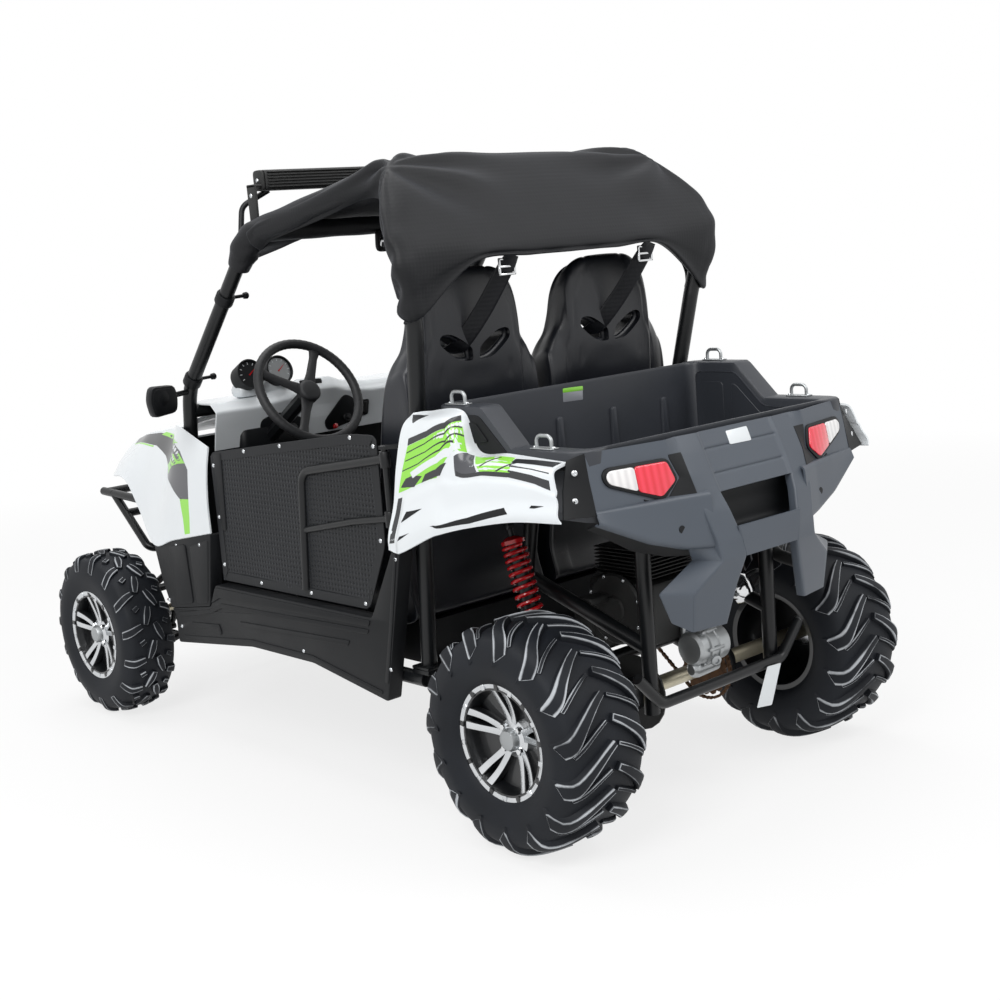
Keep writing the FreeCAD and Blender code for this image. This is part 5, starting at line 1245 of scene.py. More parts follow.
for number, (top_x, low_x) in enumerate(((210, 290), (-300, -210))):
    slant = low_x - top_x
    way_down = [(top_x, 735, 1380), (top_x + slant * 0.15, 715, 1345), (top_x + slant * 0.55, 660, 1250),
        (low_x, 606, 1170), (low_x, 560, 1150), (low_x, 500, 1145)]
    strap(f"harness_strap_{number + 1}", way_down, 46, 0.7)
    piece(f"harness_buckle_{number + 1}", buckle((top_x + slant * 0.12, 722, 1352), 56), chrome,
        "chassis")
print("straps ready")

# %% [markdown]
# ## Flat mouldings
# Sills, flares, lamps and small covers are outlines with an arc at each corner,
# given depth, with both rims drawn in so that every edge catches the light.
# Larger mouldings are facets: straight between measured points, then smoothed a
# few times, which leaves flats with a fillet between them.

# %% Outlines
def rounded(outline, radius, steps=4):
    """A closed outline whose corners are parabolas tangent to both sides, starting a radius away."""
    outline = np.asarray(outline, float)
    share = np.linspace(0, 1, steps)[:, None]
    points = []
    for before, corner, after in zip(np.roll(outline, 1, axis=0), outline, np.roll(outline, -1, axis=0)):
        back, ahead = before - corner, after - corner
        reach_back, reach_ahead = (min(radius / np.linalg.norm(way), 0.45) for way in (back, ahead))
        points.append((1 - share) ** 2 * (corner + back * reach_back) + 2 * share * (1 - share) * corner
            + share ** 2 * (corner + ahead * reach_ahead))
    return np.concatenate(points)


def evenly(line, count=0, pitch=0.0):
    """Points evenly spaced round a closed line: the count given, or the even number that fits the pitch."""
    line = np.concatenate([line, line[:1]])
    run = np.concatenate([[0], np.cumsum(np.linalg.norm(np.diff(line, axis=0), axis=1))])
    at = np.linspace(0, run[-1], count or int(run[-1] / pitch / 2) * 2, endpoint=False)
    return np.stack([np.interp(at, run, line[:, k]) for k in (0, 1)], axis=-1)


def drawn_in(outline, gap):
    """The outline moved inward, each point along the sum of its sides' normals over 1 + their product."""
    after, before = np.roll(outline, -1, axis=0) - outline, outline - np.roll(outline, 1, axis=0)
    area = (outline[:, 0] * np.roll(outline[:, 1], -1) - outline[:, 1] * np.roll(outline[:, 0], -1)).sum()
    first, second = (unit(np.stack([-side[:, 1], side[:, 0]], axis=-1)) for side in (before, after))
    scale = np.maximum(1 + (first * second).sum(axis=1, keepdims=True), 0.5)
    return outline + (first + second) / scale * gap * np.sign(area)


def sideways(u, v, depth):
    """An outline in (y, z) with its depth along x."""
    return np.stack([depth, u, v], axis=-1)


def upright(u, v, depth):
    """An outline in (x, z) with its depth along y."""
    return np.stack([u, depth, v], axis=-1)


def rings(outline, levels, place):
    """One ring for each (depth, drawn in) of the levels."""
    made = []
    for depth, gap in levels:
        line = drawn_in(outline, gap) if gap else outline
        made.append(place(line[:, 0], line[:, 1], np.full(len(line), float(depth))))
    return np.stack(made)


# %% Plates, trays and facets
def slab(outline, low, high, place=sideways, corner=8, edge=1.5):
    """A plate with both rims drawn in."""
    line = rounded(outline, corner) if corner else np.asarray(outline, float)
    levels = [(low, edge), (low + edge, 0), (high - edge, 0), (high - edge * 0.3, edge * 0.3), (high, edge)]
    return solid(rings(line, levels, place))


def tray(outline, low, high, wall, place=sideways, corner=10, edge=3):
    """A plate with a wall turned back round its outline: inside and outside are one closed surface."""
    line = rounded(outline, corner)
    levels = [(high - wall, wall), (low, wall), (low, 0), (high - edge, 0),
        (high - edge * 0.3, edge * 0.3), (high, edge)]
    return solid(rings(line, levels, place))


def faceted(rows, u_count, v_count, soft=3, ring=False):
    """Straight lines between the table's points, evenly spaced, then softened.

    Each of the soft passes is (before + 2 own + after) / 4, and the ends are held.
    """
    table = np.asarray(rows, float)
    for axis, count, closed in ((0, u_count, False), (1, v_count, ring)):
        table = np.moveaxis(table, axis, 0)
        whole = np.concatenate([table, table[:1]]) if closed else table
        gap = np.maximum(np.linalg.norm(np.diff(whole, axis=0), axis=-1).mean(axis=1), 1e-6)
        at = np.concatenate([[0], np.cumsum(gap)]) / gap.sum()
        share = np.linspace(0, 1, count, endpoint=not closed)
        step = np.clip(np.searchsorted(at, share, side="right") - 1, 0, len(gap) - 1)
        t = ((share - at[step]) / (at[step + 1] - at[step]))[:, None, None]
        table = whole[step] * (1 - t) + whole[step + 1] * t
        for _ in range(soft):
            if closed:
                table = (np.roll(table, 1, axis=0) + 2 * table + np.roll(table, -1, axis=0)) / 4
            else:
                table[1:-1] = (table[:-2] + 2 * table[1:-1] + table[2:]) / 4
        table = np.moveaxis(table, 0, axis)
    return table


def screw(centre, axis, radius=5.5):
    """A dome head with a socket: its profile turned about the axis."""
    return (*lathe([(-1, radius), (0.8, radius), (2.2, radius * 0.82), (2.8, radius * 0.55),
        (1.2, radius * 0.45), (1.0, 0.05)], 20, centre, axis), machined_alloy)


# %% Sills and flares
sill_line = [(-509, 291), (-97, 336), (201, 335), (521, 282), (577, 500), (624, 684), (593, 686),
    (483, 498), (-262, 498), (-300, 429), (-530, 395), (-512, 381)]
sill_parts = [tray(sill_line, 519.6, 561.5, 4)]
for outline, height in (([(-292, 440), (-262, 491), (478, 491), (470, 474), (-244, 462)], 3),
                        ([(-496, 386), (-300, 421), (-240, 446), (470, 466), (460, 452), (-238, 432),
                         (-300, 408), (-490, 372)], 2.4),
                        ([(-424, 366), (-262, 380), (-252, 352), (-268, 346), (-276, 362), (-412, 350)],
                         2.2), ([(-150, 404), (380, 424), (370, 408), (-138, 388)], 2.2),
                        ([(-480, 306), (-97, 348), (201, 347), (500, 298), (503, 308), (201, 357),
                         (-97, 358), (-480, 317)], 1.8),
                        ([(530, 330), (572, 500), (612, 676), (602, 678), (560, 504), (516, 334)], 2.2)):
    sill_parts.append(slab(outline, 560, 561.5 + height, corner=6, edge=1.2))
sill_parts += [screw((561.5, y, z), ACROSS) for y, z in ((161, 363), (-480, 345), (545, 372), (606, 664))]
print("parts in each sill:", len(sill_parts))


# %% Flares
flare_line = [(-594, 586), (-567, 478), (-531, 395.2), (-303, 429), (-257, 649.9), (-468, 611)]
flare_parts = [tray(flare_line, 522, 561.5, 4),
               slab([(-500, 592), (-404, 606), (-394, 428), (-492, 410)], 560, 565, corner=12),
               slab([(-384, 600), (-272, 632), (-312, 438), (-376, 428)], 560, 563, corner=12)]
flare_parts += [screw((561.5, y, z), ACROSS) for y, z in ((-324, 612), (-460, 597), (-538, 420))]
for side, turn in SIDES:
    piece(f"sill_moulding_{side}", [turn(part) for part in sill_parts], black_pp, "chassis",
        [f"sill_{side}"], smooth=35)
    piece(f"flare_moulding_{side}", [turn(part) for part in flare_parts], black_pp, "chassis",
        [f"flare_{side}"], smooth=35)
print("sills and flares ready")

# %% [markdown]
# ## Doors
# A bent tube carries a perforated cloth. Holes of 3.2 mm stand at a pitch of 14 mm:
# each cell of the sheet is eight faces between a square and an octagon. A doubled
# hem runs round the outline.

# %% Doors
door_line = np.array([(-240, 512), (455, 512), (545, 690), (548, 968), (434, 967), (109, 929),
    (-240, 886)], float)


def inside(points, outline):
    """Whether points lie in an outline: an odd number of its sides cross the ray toward +u."""
    crossings = np.zeros(points.shape[:-1], int)
    for (u0, v0), (u1, v1) in zip(outline, np.roll(outline, -1, axis=0)):
        spans = (v0 > points[..., 1]) != (v1 > points[..., 1])
        at = u0 + (points[..., 1] - v0) / (v1 - v0 if v1 != v0 else 1) * (u1 - u0)
        crossings += spans & (points[..., 0] < at)
    return crossings % 2 == 1


def perforated(outline, x, pitch, radius):
    """Cells of the pitch inside the outline, each a square of eight points joined to an octagonal hole."""
    low, high = outline.min(axis=0), outline.max(axis=0)
    cells = np.ceil((high - low) / pitch).astype(int)
    half = pitch / 2
    counts = cells * 2 + 1
    u, v = np.meshgrid(low[0] + np.arange(counts[0]) * half, low[1] + np.arange(counts[1]) * half,
        indexing="ij")
    corner_points = np.stack([u, v], axis=-1)
    kept = inside(corner_points[::2, ::2], outline)
    whole = kept[:-1, :-1] & kept[1:, :-1] & kept[:-1, 1:] & kept[1:, 1:]
    ring_steps = np.array([(2, 1), (2, 2), (1, 2), (0, 2), (0, 1), (0, 0), (1, 0), (2, 0)])
    turn = np.arange(8) * np.pi / 4
    hole = np.stack([np.cos(turn), np.sin(turn)], axis=-1) * radius
    faces, holes, start = [], [], counts[0] * counts[1]
    for number, (i, j) in enumerate(np.argwhere(whole)):
        outer = (2 * i + ring_steps[:, 0]) * counts[1] + 2 * j + ring_steps[:, 1]
        inner = start + number * 8 + np.arange(8)
        holes.append(corner_points[2 * i + 1, 2 * j + 1] + hole)
        faces.append(np.stack([outer, np.roll(outer, -1), np.roll(inner, -1), inner], axis=-1))
    flat = np.concatenate([corner_points.reshape(-1, 2), *holes])
    faces = np.concatenate(faces)
    used, places = np.unique(faces, return_inverse=True)
    flat = flat[used]
    points = np.stack([x + 1.6 * np.sin(flat[:, 0] / 60) * np.sin(flat[:, 1] / 70), flat[:, 0],
        flat[:, 1]], axis=-1)
    cell_area = pitch ** 2 - 2 * math.sqrt(2) * radius ** 2
    return points, places.reshape(faces.shape).tolist(), whole.sum() * cell_area


def hem(outline, low, high, wide):
    """A doubled strip inside an outline: outer rim, inner rim and back, joined as a closed ring."""
    line = rounded(outline, 26, 6)
    levels = [(low, wide), (low, 1), (low + 1, 0), (high - 1, 0), (high, 1), (high, wide)]
    return surface(rings(line, levels, sideways), ring_rows=True, ring_columns=True)


# %% Bars, net and trim
DOOR_PLANE, HOLE_PITCH, HOLE_RADIUS = 541.5, 14, 1.6
net_points, net_faces, net_area = perforated(door_line, DOOR_PLANE, HOLE_PITCH, HOLE_RADIUS)
door_bars = [tube([(543, 572, 910), (543, 213, 858), (543, 179, 534)], 25, 45),
             tube([(543, 572, 760), (543, 420, 740), (543, 206, 700)], 19, 45),
             *(lathe([(z, 8.2), (z, 13.4), (z + 1, 14), (z + 39, 14), (z + 40, 13.4), (z + 40, 8.2)], 32,
             (545, 580, 0), UP, ring=True) for z in (740, 890))]
door_trim = [(*hem(door_line, 539.6, 543.6, 26), door_cloth),
    slab([(-222, 884), (-180, 890), (-196, 660), (-222, 664)], 542, 545, corner=10)]
door_trim += [screw((543.6, y, z), ACROSS, 6) for y, z in ((-226, 560), (-226, 700), (-226, 850),
    (-60, 899), (120, 922), (440, 958), (534, 940), (528, 700), (440, 526), (200, 526), (-40, 526))]
for side, turn in SIDES:
    body = f"door_{side}_body"
    piece(f"door_{side}_bars", [turn(part) for part in door_bars], powder_black, body, [f"door_{side}"],
        smooth=50)
    piece(f"door_{side}_trim", [turn(part) for part in door_trim], black_pp, body)
    net = piece(f"door_{side}_net", [turn((net_points, net_faces))], door_cloth, body,
        fix=False)
    thick(net, 1.2)
print("doors ready: net", round(float(net_area) * MM * MM, 3), "m2")

# %% [markdown]
# ## Rear fascia and tail lamps
# The grey moulding is a band of facets that leans forward at the top: tailgate in
# the middle, a pillar on each side of it, and a flat round each lamp. The pillars
# run on down, meet in a waist plate and end in feet.

# %% Fascia
def lamp_face(x, z):
    """How far back the flat round the left lamp stands: a plane in x and z."""
    return 1258.1 - 0.187 * (x - 240) - 0.2 * (z - 856)


band_levels = ((944, 136, 1236, 212, 1228, 250), (904, 136, 1254, 210, 1250, 256),
    (856, 136, 1274, 210, 1272, 238), (808, 134, 1295, 204, 1288, 288))
band_rows = []
for z, middle_x, middle_y, ridge_x, ridge_y, lamp_x in band_levels:
    left = [(middle_x - 4, middle_y - 5, z), (middle_x, middle_y, z), (ridge_x, ridge_y, z),
        (lamp_x, lamp_face(lamp_x, z), z), (475, lamp_face(475, z), z)]
    band_rows.append([(-x, y, z) for x, y, z in left[::-1]] + left)


def band_face(x, z, depth):
    """A point on the band at (x, z), the depth behind it, straight between levels and their points."""
    levels = np.array([row[0][2] for row in band_rows])[::-1]
    rows = np.array(band_rows)[::-1]
    found = []
    for place, height in zip(x, z):
        step = int(np.clip(np.searchsorted(levels, height) - 1, 0, len(levels) - 2))
        share = (height - levels[step]) / (levels[step + 1] - levels[step])
        row = rows[step] * (1 - share) + rows[step + 1] * share
        found.append(np.interp(place, row[:, 0], row[:, 1]))
    return np.stack([x, np.array(found) + depth, z], axis=-1)


print("levels of the band:", len(band_rows))


# %% Tailgate, pillars and feet
band = faceted(band_rows, 60, 260, 3)
groove = sum(3.2 * np.exp(-((band[..., 2] - z) / 2.2) ** 2) * (np.abs(band[..., 0]) < half)
    for z, half in ((904, 130), (848, 128)))
band[..., 1] -= groove
band = shell(band, 6)
pillar_levels = ((812, 134, 1293, 206, 1286), (770, 124, 1311, 201, 1301), (700, 105, 1330, 182, 1318),
    (655, 95, 1331, 176, 1325), (590, 118, 1318, 256, 1300), (500, 147, 1305, 251, 1288))
deep = 26
pillar = faceted([[(inner_x, inner_y - deep, z), (outer_x, outer_y - deep, z), (outer_x, outer_y, z),
                  (inner_x, inner_y, z)]
                  for z, inner_x, inner_y, outer_x, outer_y in pillar_levels], 90, 64, 2, ring=True)
wing_stations = ((176, 1298, 690, 812, 26), (250, 1276, 700, 812, 27), (342, 1256, 728, 812, 26),
    (474, 1224, 790, 812, 14))
wing = faceted([[(x, y - 30, high + 4), (x, y - 2, high), (x, y + 8, low), (x, y - 4, low - 3)]
    for x, y, low, high, _ in wing_stations], 60, 40, 2)
# The wing's underside is its own black part: painted shade for the grey moulding's underside in shadow.
below = faceted([[(x, y + 5, low), (x - 4, y - under * 2.4, low - under)]
    for x, y, low, _, under in wing_stations], 60, 12, 2)
ear = faceted([[(176, 1322, 655), (208, 1262, 659)], [(256, 1299, 590), (321, 1255, 601)],
    [(251, 1287, 500), (290, 1260, 526)]], 40, 20, 2)
ledge = faceted([[(176, 1303, 692), (246, 1283, 700)], [(176, 1321, 655), (210, 1262, 658)]], 10, 12, 1)
waist = faceted([[(-half, y, z), (half, y, z)] for z, half, y in ((727, 114, 1329), (690, 106, 1331),
    (654, 96, 1331))], 24, 30, 2)
flank = faceted([[(474, 1198, 944), (504, 1174, 932)], [(474, 1210, 880), (532, 1186, 872)],
    [(474, 1226, 806), (556, 1206, 812)]], 40, 24, 1)
recess = faceted([[(-185, 1262, 812), (185, 1262, 812)], [(-180, 1256, 770), (180, 1256, 770)],
    [(-162, 1262, 716), (162, 1262, 716)], [(-104, 1308, 694), (104, 1308, 694)]], 30, 30, 2)
fascia_parts = [band, shell(waist, 7), solid(pillar), shell(wing, 5), shell(ear, 5),
    (*shell(below, 4), black_pp), (*shell(recess, 4), black_pp)]
fascia_parts += [other_side(part) for part in fascia_parts[2:6]] + both([(*shell(flank, 5), black_pp)])
facet_z = np.linspace(910, 811, 26)
facet_lines = [np.interp(facet_z, [808, 856, 904, 944], line)
    for line in ((206, 212, 212, 214), (285, 235, 252, 247))]
facet = np.stack([band_face(facet_lines[0] * (1 - s) + facet_lines[1] * s, facet_z, 1.4)
    for s in np.linspace(0, 1, 14)], axis=1)
fascia_parts += both([(*shell(facet, 2.5), black_pp)])
fascia_parts += both([screw((505, 1196, 905), (0.6, 0.8, 0), 7), screw((516, 1203, 845), (0.6, 0.8, 0), 7)])
# A round hole, drawn as a black plug flush with the face: painted shade for the hole's dark inside.
port = lathe([(0.5, 9), (-1, 9.5), (-12, 8.5), (-12, 0.1)], 24, (262, 1283, 742), (0.1, 1, 0))
fascia_parts += both([(*port, black_pp), shell(ledge, 4)])
label = slab([(-43, 934), (36, 933), (38, 902), (-41, 901)], -1, 0.9, band_face, 4, 0.3)
fascia_parts.append((*label, white_abs))
piece("rear_fascia_moulding", fascia_parts, grey_pp, "chassis", ["rear_fascia"], smooth=32)
print("fascia parts:", len(fascia_parts))


# %% Lamps
def lens(name, base, shade):
    """Moulded lens: clear skin over a ribbed reflector; the ribs are drawn 20 mm apart, to show."""
    material, tree, place = new_material(name)
    ribs = add(tree, "ShaderNodeTexWave", {"Vector": place, "Scale": 16.0, "Distortion": 0.2},
        bands_direction="X")
    tint = add(tree, "ShaderNodeMix", {0: ribs.outputs["Fac"], 6: paint(base), 7: paint(shade)},
        data_type="RGBA")
    finish(tree, tint.outputs[2], ribs.outputs["Fac"], 0.4, 0.4, Roughness=0.16,
        **{"Coat Weight": 0.8, "Coat Roughness": 0.05})
    return material


lens_red = lens("lens_red_acrylic", "#E0142E", "#F0304A")
lens_clear = lens("lens_clear_acrylic", "#F2F0EF", "#DEDCDC")


def lamp_plane(x, z, depth):
    """A point on the flat round the left lamp, the depth behind it."""
    return np.stack([x, lamp_face(x, z) + depth, z], axis=-1)


lamp_line = [(260, 905), (430, 905), (443, 888), (435, 864), (292, 812), (242, 853)]
bezel = slab(lamp_line, -6, 5.5, lamp_plane, 14, 2)
white_lens = slab([(357, 898), (424, 898), (434, 886), (428, 869), (357, 843)], 2, 9, lamp_plane, 9, 2.5)
red_lens = slab([(267, 898), (355.5, 898), (355.5, 842), (297, 822), (252, 853)], 2, 9, lamp_plane, 8, 2.5)
gasket = slab([(262, 822), (300, 806), (345, 824), (338, 812), (300, 794), (262, 806)], -3, 2.5,
    lamp_plane, 5, 1)
lamp_parts = both([bezel, gasket, (*white_lens, lens_clear), (*red_lens, lens_red)])
piece("tail_lamp_units", lamp_parts, black_pp, "chassis", ["tail_lamps"], smooth=40)
print("fascia and lamps ready")

# %% [markdown]
# ## Cargo bed
# A deep tray with a broad rim. The rim's height follows a step behind the cab, and
# its section (up the wall, over the edge, down the lip) is carried round the
# rounded rectangle of the well. Ribs stiffen the floor and the front wall.

# %% Bed
def rim_height(y):
    """1042 ahead of the step, 948 behind it, a straight slope between."""
    return np.interp(y, [893, 987], [1042, 948])


well = evenly(rounded([(430, 743), (430, 1182), (-430, 1182), (-430, 743)], 34, 8), 260)
outside = unit(well - drawn_in(well, 1.0))
broad = np.abs(outside[:, :1])
reach = broad * 66 + (1 - broad) * 8


def wall_ring(gap, height):
    """The well's outline moved outward by the gap, at a height."""
    return np.column_stack([well + outside * gap, np.full(len(well), height)])


tray_rows = [wall_ring(-12, 783.0), wall_ring(-2, 788.0)]
top = rim_height(well[:, 1])
for out_share, drop in ((0.0, 9.0), (0.04, 2.5), (0.13, 0.0), (0.9, 0.0), (0.98, 2.0), (1.0, 8.0),
        (1.0, 34.0)):
    tray_rows.append(wall_ring(reach * out_share, top - drop))
tray_rows += [wall_ring(reach - 4, top - 34), wall_ring(reach - 4, top - 8), wall_ring(5, top - 8),
    wall_ring(5, 778.6)]
bed_parts = [solid(np.stack(tray_rows))]
bed_parts += [box_part((x - 11, 760, 782), (x + 11, 1166, 789), 3) for x in range(-360, 361, 60)]


def leaning_rib(x):
    """A rib on the front wall, wide at its foot and rounded at the top."""
    return slab([(x - 15, 790), (x + 15, 790), (x + 10, 960), (x - 10, 960)], 741, 752, upright, 8, 3)


bed_parts += [leaning_rib(x) for x in (-300, -100, 100, 300)]
side_pad = [(760, 800), (1160, 800), (1160, 925), (992, 925), (900, 1016), (760, 1016)]
bed_parts += both([tray(side_pad, 431, 424, 2, corner=18, edge=2)])
bed_parts += both([slab([(780, 826), (858, 826), (858, 990), (780, 990)], 421, 426, corner=14, edge=2),
    slab([(884, 826), (1140, 826), (1140, 905), (985, 905), (900, 985), (884, 985)], 421, 426, corner=14,
    edge=2)])
gutter = [(446, 800), (452, 800), (480, 905), (474, 905)]
bed_parts += both([slab(gutter, 760, 1178, upright, 2, 1)])
sticker = slab([(78, 1030), (6, 1028), (8, 992), (80, 995)], 742.6, 743.9, upright, 3, 0.3)
band_of_sticker = slab([(78, 1030), (6, 1028), (6, 1017), (79, 1019)], 743.2, 744.3, upright, 2, 0.2)
bed_parts += [(*sticker, vinyl("label_silver_film", "#9A9DA3", "#8D9096")), (*band_of_sticker, vinyl_green)]
piece("cargo_bed_tray", bed_parts, bed_pp, "chassis", ["cargo_bed"], smooth=38)

# Black pockets that fill the gap between the quarter panels and the bed's rim.
pocket = [(742, 946), (742, 1022), (886, 1022), (985, 930), (1176, 926), (1176, 905), (980, 908), (860, 930)]
pocket_parts = [slab(pocket, 486, 499, corner=14, edge=3),
                slab([(764, 962), (812, 960), (812, 1006), (764, 1006)], 497, 503, corner=8, edge=2),
                slab([(826, 958), (858, 954), (918, 962), (878, 1004), (826, 1006)], 497, 503, corner=8,
                edge=2)]
piece("bed_side_pockets", both(pocket_parts), black_pp, "chassis", smooth=35)
print("bed parts:", len(bed_parts))

# %% Tie-down hooks
hook_parts = []
for y, base in ((1073, 948.3), (790, 1042.3)):
    hook_parts += [tube([(472, y - 24, base), (472, y - 24, base + 30), (472, y + 24, base + 30),
        (472, y + 24, base)], 9, 14), box_part((458, y - 34, base), (486, y + 34, base + 3), 1.4)]
    hook_parts += [(*lathe([(0, 5), (2, 5), (3.4, 3.6), (3.6, 0.1)], 20, (472, y + shift, base + 3), UP),
        machined_alloy) for shift in (-30, 30)]
piece("tie_down_loops", both(hook_parts), cast_alloy, "chassis", ["tie_down_hooks"], smooth=45)
print("bed ready")

# %% [markdown]
# ## Dashboard and controls
# The dash is a folded sheet with a soft hump that shades the panel. Small controls
# stand on its face. The steering wheel is a ring in the plane square to its column,
# tilted 32 degrees.

# %% Dashboard
def facing(x, z, depth):
    """A point on the dash's rear face at (x, z), the depth behind it."""
    face = np.interp(z, [872, 930, 986, 1012, 1060], [-352, -338, -322, -340, -340])
    return np.stack([x, face + depth, z], axis=-1)


dash = faceted([[(x, y, z) for x in (-455, 455)]
    for y, z in ((-492, 1012), (-352, 1012), (-322, 986), (-338, 930), (-352, 872))], 80, 110, 3)
x, y, z = dash[..., 0], dash[..., 1], dash[..., 2]
hump = np.interp(x, [-120, -20, 20, 140, 168, 270, 300], [0, 14, 30, 34, 18, 6, 0])
dash[..., 2] += hump * np.exp(-((y + 352) / 55) ** 2) * (z > 930)
dash[..., 2] += 2 * np.cos(x / 455 * np.pi / 2) * (z > 1000)
dash_parts = [shell(dash, 5)]
dash_parts += [(*part, black_pp) for part in (
               slab([(62, 1042), (140, 1044), (142, 1020), (61, 1018)], -6, 6, facing, 6, 2),
               slab([(-108, 956), (-54, 957), (-66, 905), (-108, 906)], -2, 5, facing, 8, 2),
               slab([(-48, 968), (-8, 985), (64, 905), (48, 874), (-52, 894)], -2, 4, facing, 16, 2),
               slab([(142, 930), (236, 960), (300, 944), (300, 880), (146, 880)], -2, 4, facing, 18, 2),
               box_part((160, -392, 838), (372, -330, 925), 20))]
dash_parts += [(*slab([(-100, 950), (-86, 950), (-86, 914), (-100, 914)], 4, 9, facing, 3, 2), cast_iron),
    (*slab([(-80, 950), (-66, 950), (-72, 914), (-80, 914)], 4, 9, facing, 3, 2), cast_iron)]
for profile, count, x, z, material in (([(-4, 9), (6, 9), (9, 7), (10, 0.1)], 24, 20.0, 886.0, spring_red),
                                       ([(-4, 15), (8, 15), (10, 13), (10, 9), (16, 8), (18, 6),
                                        (18, 0.1)], 28, -24.0, 908.0, black_pp),
                                       ([(-4, 8), (3, 8), (5, 6), (5, 0.1)], 24, -32.0, 874.0, black_pp)):
    foot = facing(np.array([x]), np.array([z]), 0)[0]
    dash_parts.append((*lathe(profile, count, foot, (0, 0.97, 0.2)), material))
piece("dash_moulding", dash_parts, white_abs, "chassis", ["dashboard"], smooth=38)
print("dash parts:", len(dash_parts))

# %% Instruments
# Two round dials in black housings on a white cowl: a tick every 30 degrees and a pointer.
lean = unit(np.array([0, 0.94, 0.34]))
lift = unit(np.array([0, -0.34, 0.94]))
TICKS, POINTER_TURN = 9, 2.5


def dial_mark(centre, turn, outline, low, high):
    """A flat mark of (out, across) points, turned about the dial's axis and raised between two levels."""
    spoke = np.array([math.cos(turn), 0, 0]) + lift * math.sin(turn)
    side = np.cross(lean, spoke)
    ring = np.array([spoke * out + side * across for out, across in outline])
    return solid(np.stack([centre + lean * low + ring, centre + lean * high + ring]))


gauge_parts = [(*box_part((177, -414, 1012.4), (347, -354, 1056.4), 16), white_abs)]
for x, face in ((314, black_pp), (210, cast_alloy)):
    centre = np.array([x, -392, 1066.0])
    gauge_parts.append(lathe([(0, 34), (4, 40), (56, 45.5), (60, 45), (60, 41), (54, 39.5), (53.5, 0.1)],
        48, centre, lean))
    gauge_parts.append((*lathe([(53.6, 39), (54.6, 38.6), (54.6, 0.1)], 48, centre, lean), face))
    for turn in np.radians(-30 + 30 * np.arange(TICKS)):
        tick = dial_mark(centre, turn, ((36, 0.9), (36, -0.9), (29, -0.9), (29, 0.9)), 54, 55.2)
        gauge_parts.append((*tick, white_abs))
    gauge_parts.append((*dial_mark(centre, POINTER_TURN, ((30, 0), (-6, 2), (-6, -2)), 54.5, 56),
        spring_red))
piece("instrument_cluster", gauge_parts, black_pp, "chassis", ["gauge_pods"], smooth=40)
print("instrument parts:", len(gauge_parts))

# %% Steering wheel
tilt = math.radians(32)
axis = np.array([0, math.cos(tilt), math.sin(tilt)])
wheel_up = np.array([-math.sin(tilt), -math.sin(tilt) * math.cos(tilt), math.cos(tilt) ** 2])
wheel_side = np.cross(axis, wheel_up)
wheel_centre = np.array([262, -120, 1030.0])
turn = one_turn(180)
ring_line = wheel_centre + (np.cos(turn)[:, None] * wheel_side + np.sin(turn)[:, None] * wheel_up) * 161
grip = circle(1, 24)[None] * (13.8 + 0.35 * np.cos(turn * 60))[:, None, None]
wheel_parts = [surface(swept(ring_line, grip, closed=True, across=axis), ring_rows=True, ring_columns=True)]
for way in (wheel_up, -wheel_up, -wheel_side if wheel_side[0] < 0 else wheel_side):
    share = np.linspace(0, 1, 20)
    line = wheel_centre + way * (22 + share * 136)[:, None] + axis * (-7 + 5 * share)[:, None]
    wide = np.interp(share, [0, 0.3, 0.75, 1], [21, 15, 13, 19])
    flat = circle(1, 20)[None] * np.stack([wide, np.interp(share, [0, 1], [6, 8])], axis=-1)[:, None]
    wheel_parts.append(solid(swept(line, flat, across=axis)))
wheel_parts.append(lathe([(-20, 18), (-20, 28), (-16, 33), (6, 34), (11, 31), (13, 24), (14, 0.1)], 40,
    wheel_centre, axis))
piece("steering_wheel_grip", wheel_parts, grip_foam, "steering_wheel_body", ["steering_wheel"],
    smooth=50)
print("controls ready")

# %% [markdown]
# ## Mirrors, light bar and clamps

# %% Mirrors and clamps
def mirror_place(x, z, depth):
    """The housing stands askew: 22 mm further back over its 90 mm of width."""
    return np.stack([x, depth + (x - 604) / 90 * 22, z], axis=-1)


pillar_top, pillar_foot = np.array([458, -50, 1482.0]), np.array([480, -420, 1057.0])
pillar_way = unit(pillar_top - pillar_foot)


def clamp(share):
    """A split collar round the pillar with an inboard bolt that ends in a knob."""
    centre = pillar_top + (pillar_foot - pillar_top) * share
    return [lathe([(-16, 20), (-16, 25), (-12, 27), (12, 27), (16, 25), (16, 20)], 32, centre, pillar_way,
            ring=True),
            lathe([(20, 5), (58, 5), (60, 9), (70, 10), (74, 7), (75, 0.1)], 20, centre, (-1, 0.1, 0.05)),
            lathe([(20, 9), (28, 9), (28, 0.1)], 6, centre, (-1, 0.1, 0.05))]


mirror_line = [(604, 1010), (690, 1004), (702, 1052), (690, 1092), (604, 1088), (596, 1050)]
mirror_parts = [slab(mirror_line, -318, -282, mirror_place, 16, 8),
                slab([(612, 1018), (684, 1012), (694, 1052), (683, 1084), (612, 1080), (606, 1050)], -284,
                -280.5, mirror_place, 14, 1),
                lathe([(-6, 24), (3, 23), (5, 20), (5, 0.1)], 32, (655, -272, 1056), (-0.23, 0.97, 0)),
                tube([(485, -412, 1052), (560, -380, 1050), (620, -306, 1050)], 16, 30), *clamp(0.934)]
for side, turn_round in SIDES:
    piece(f"mirror_unit_{side}", [turn_round(part) for part in mirror_parts], black_pp, "chassis",
        [f"mirror_{side}"], smooth=40)
piece("pillar_clamps", both(clamp(0.388)), black_pp, "chassis", smooth=40)
print("parts in each mirror:", len(mirror_parts))

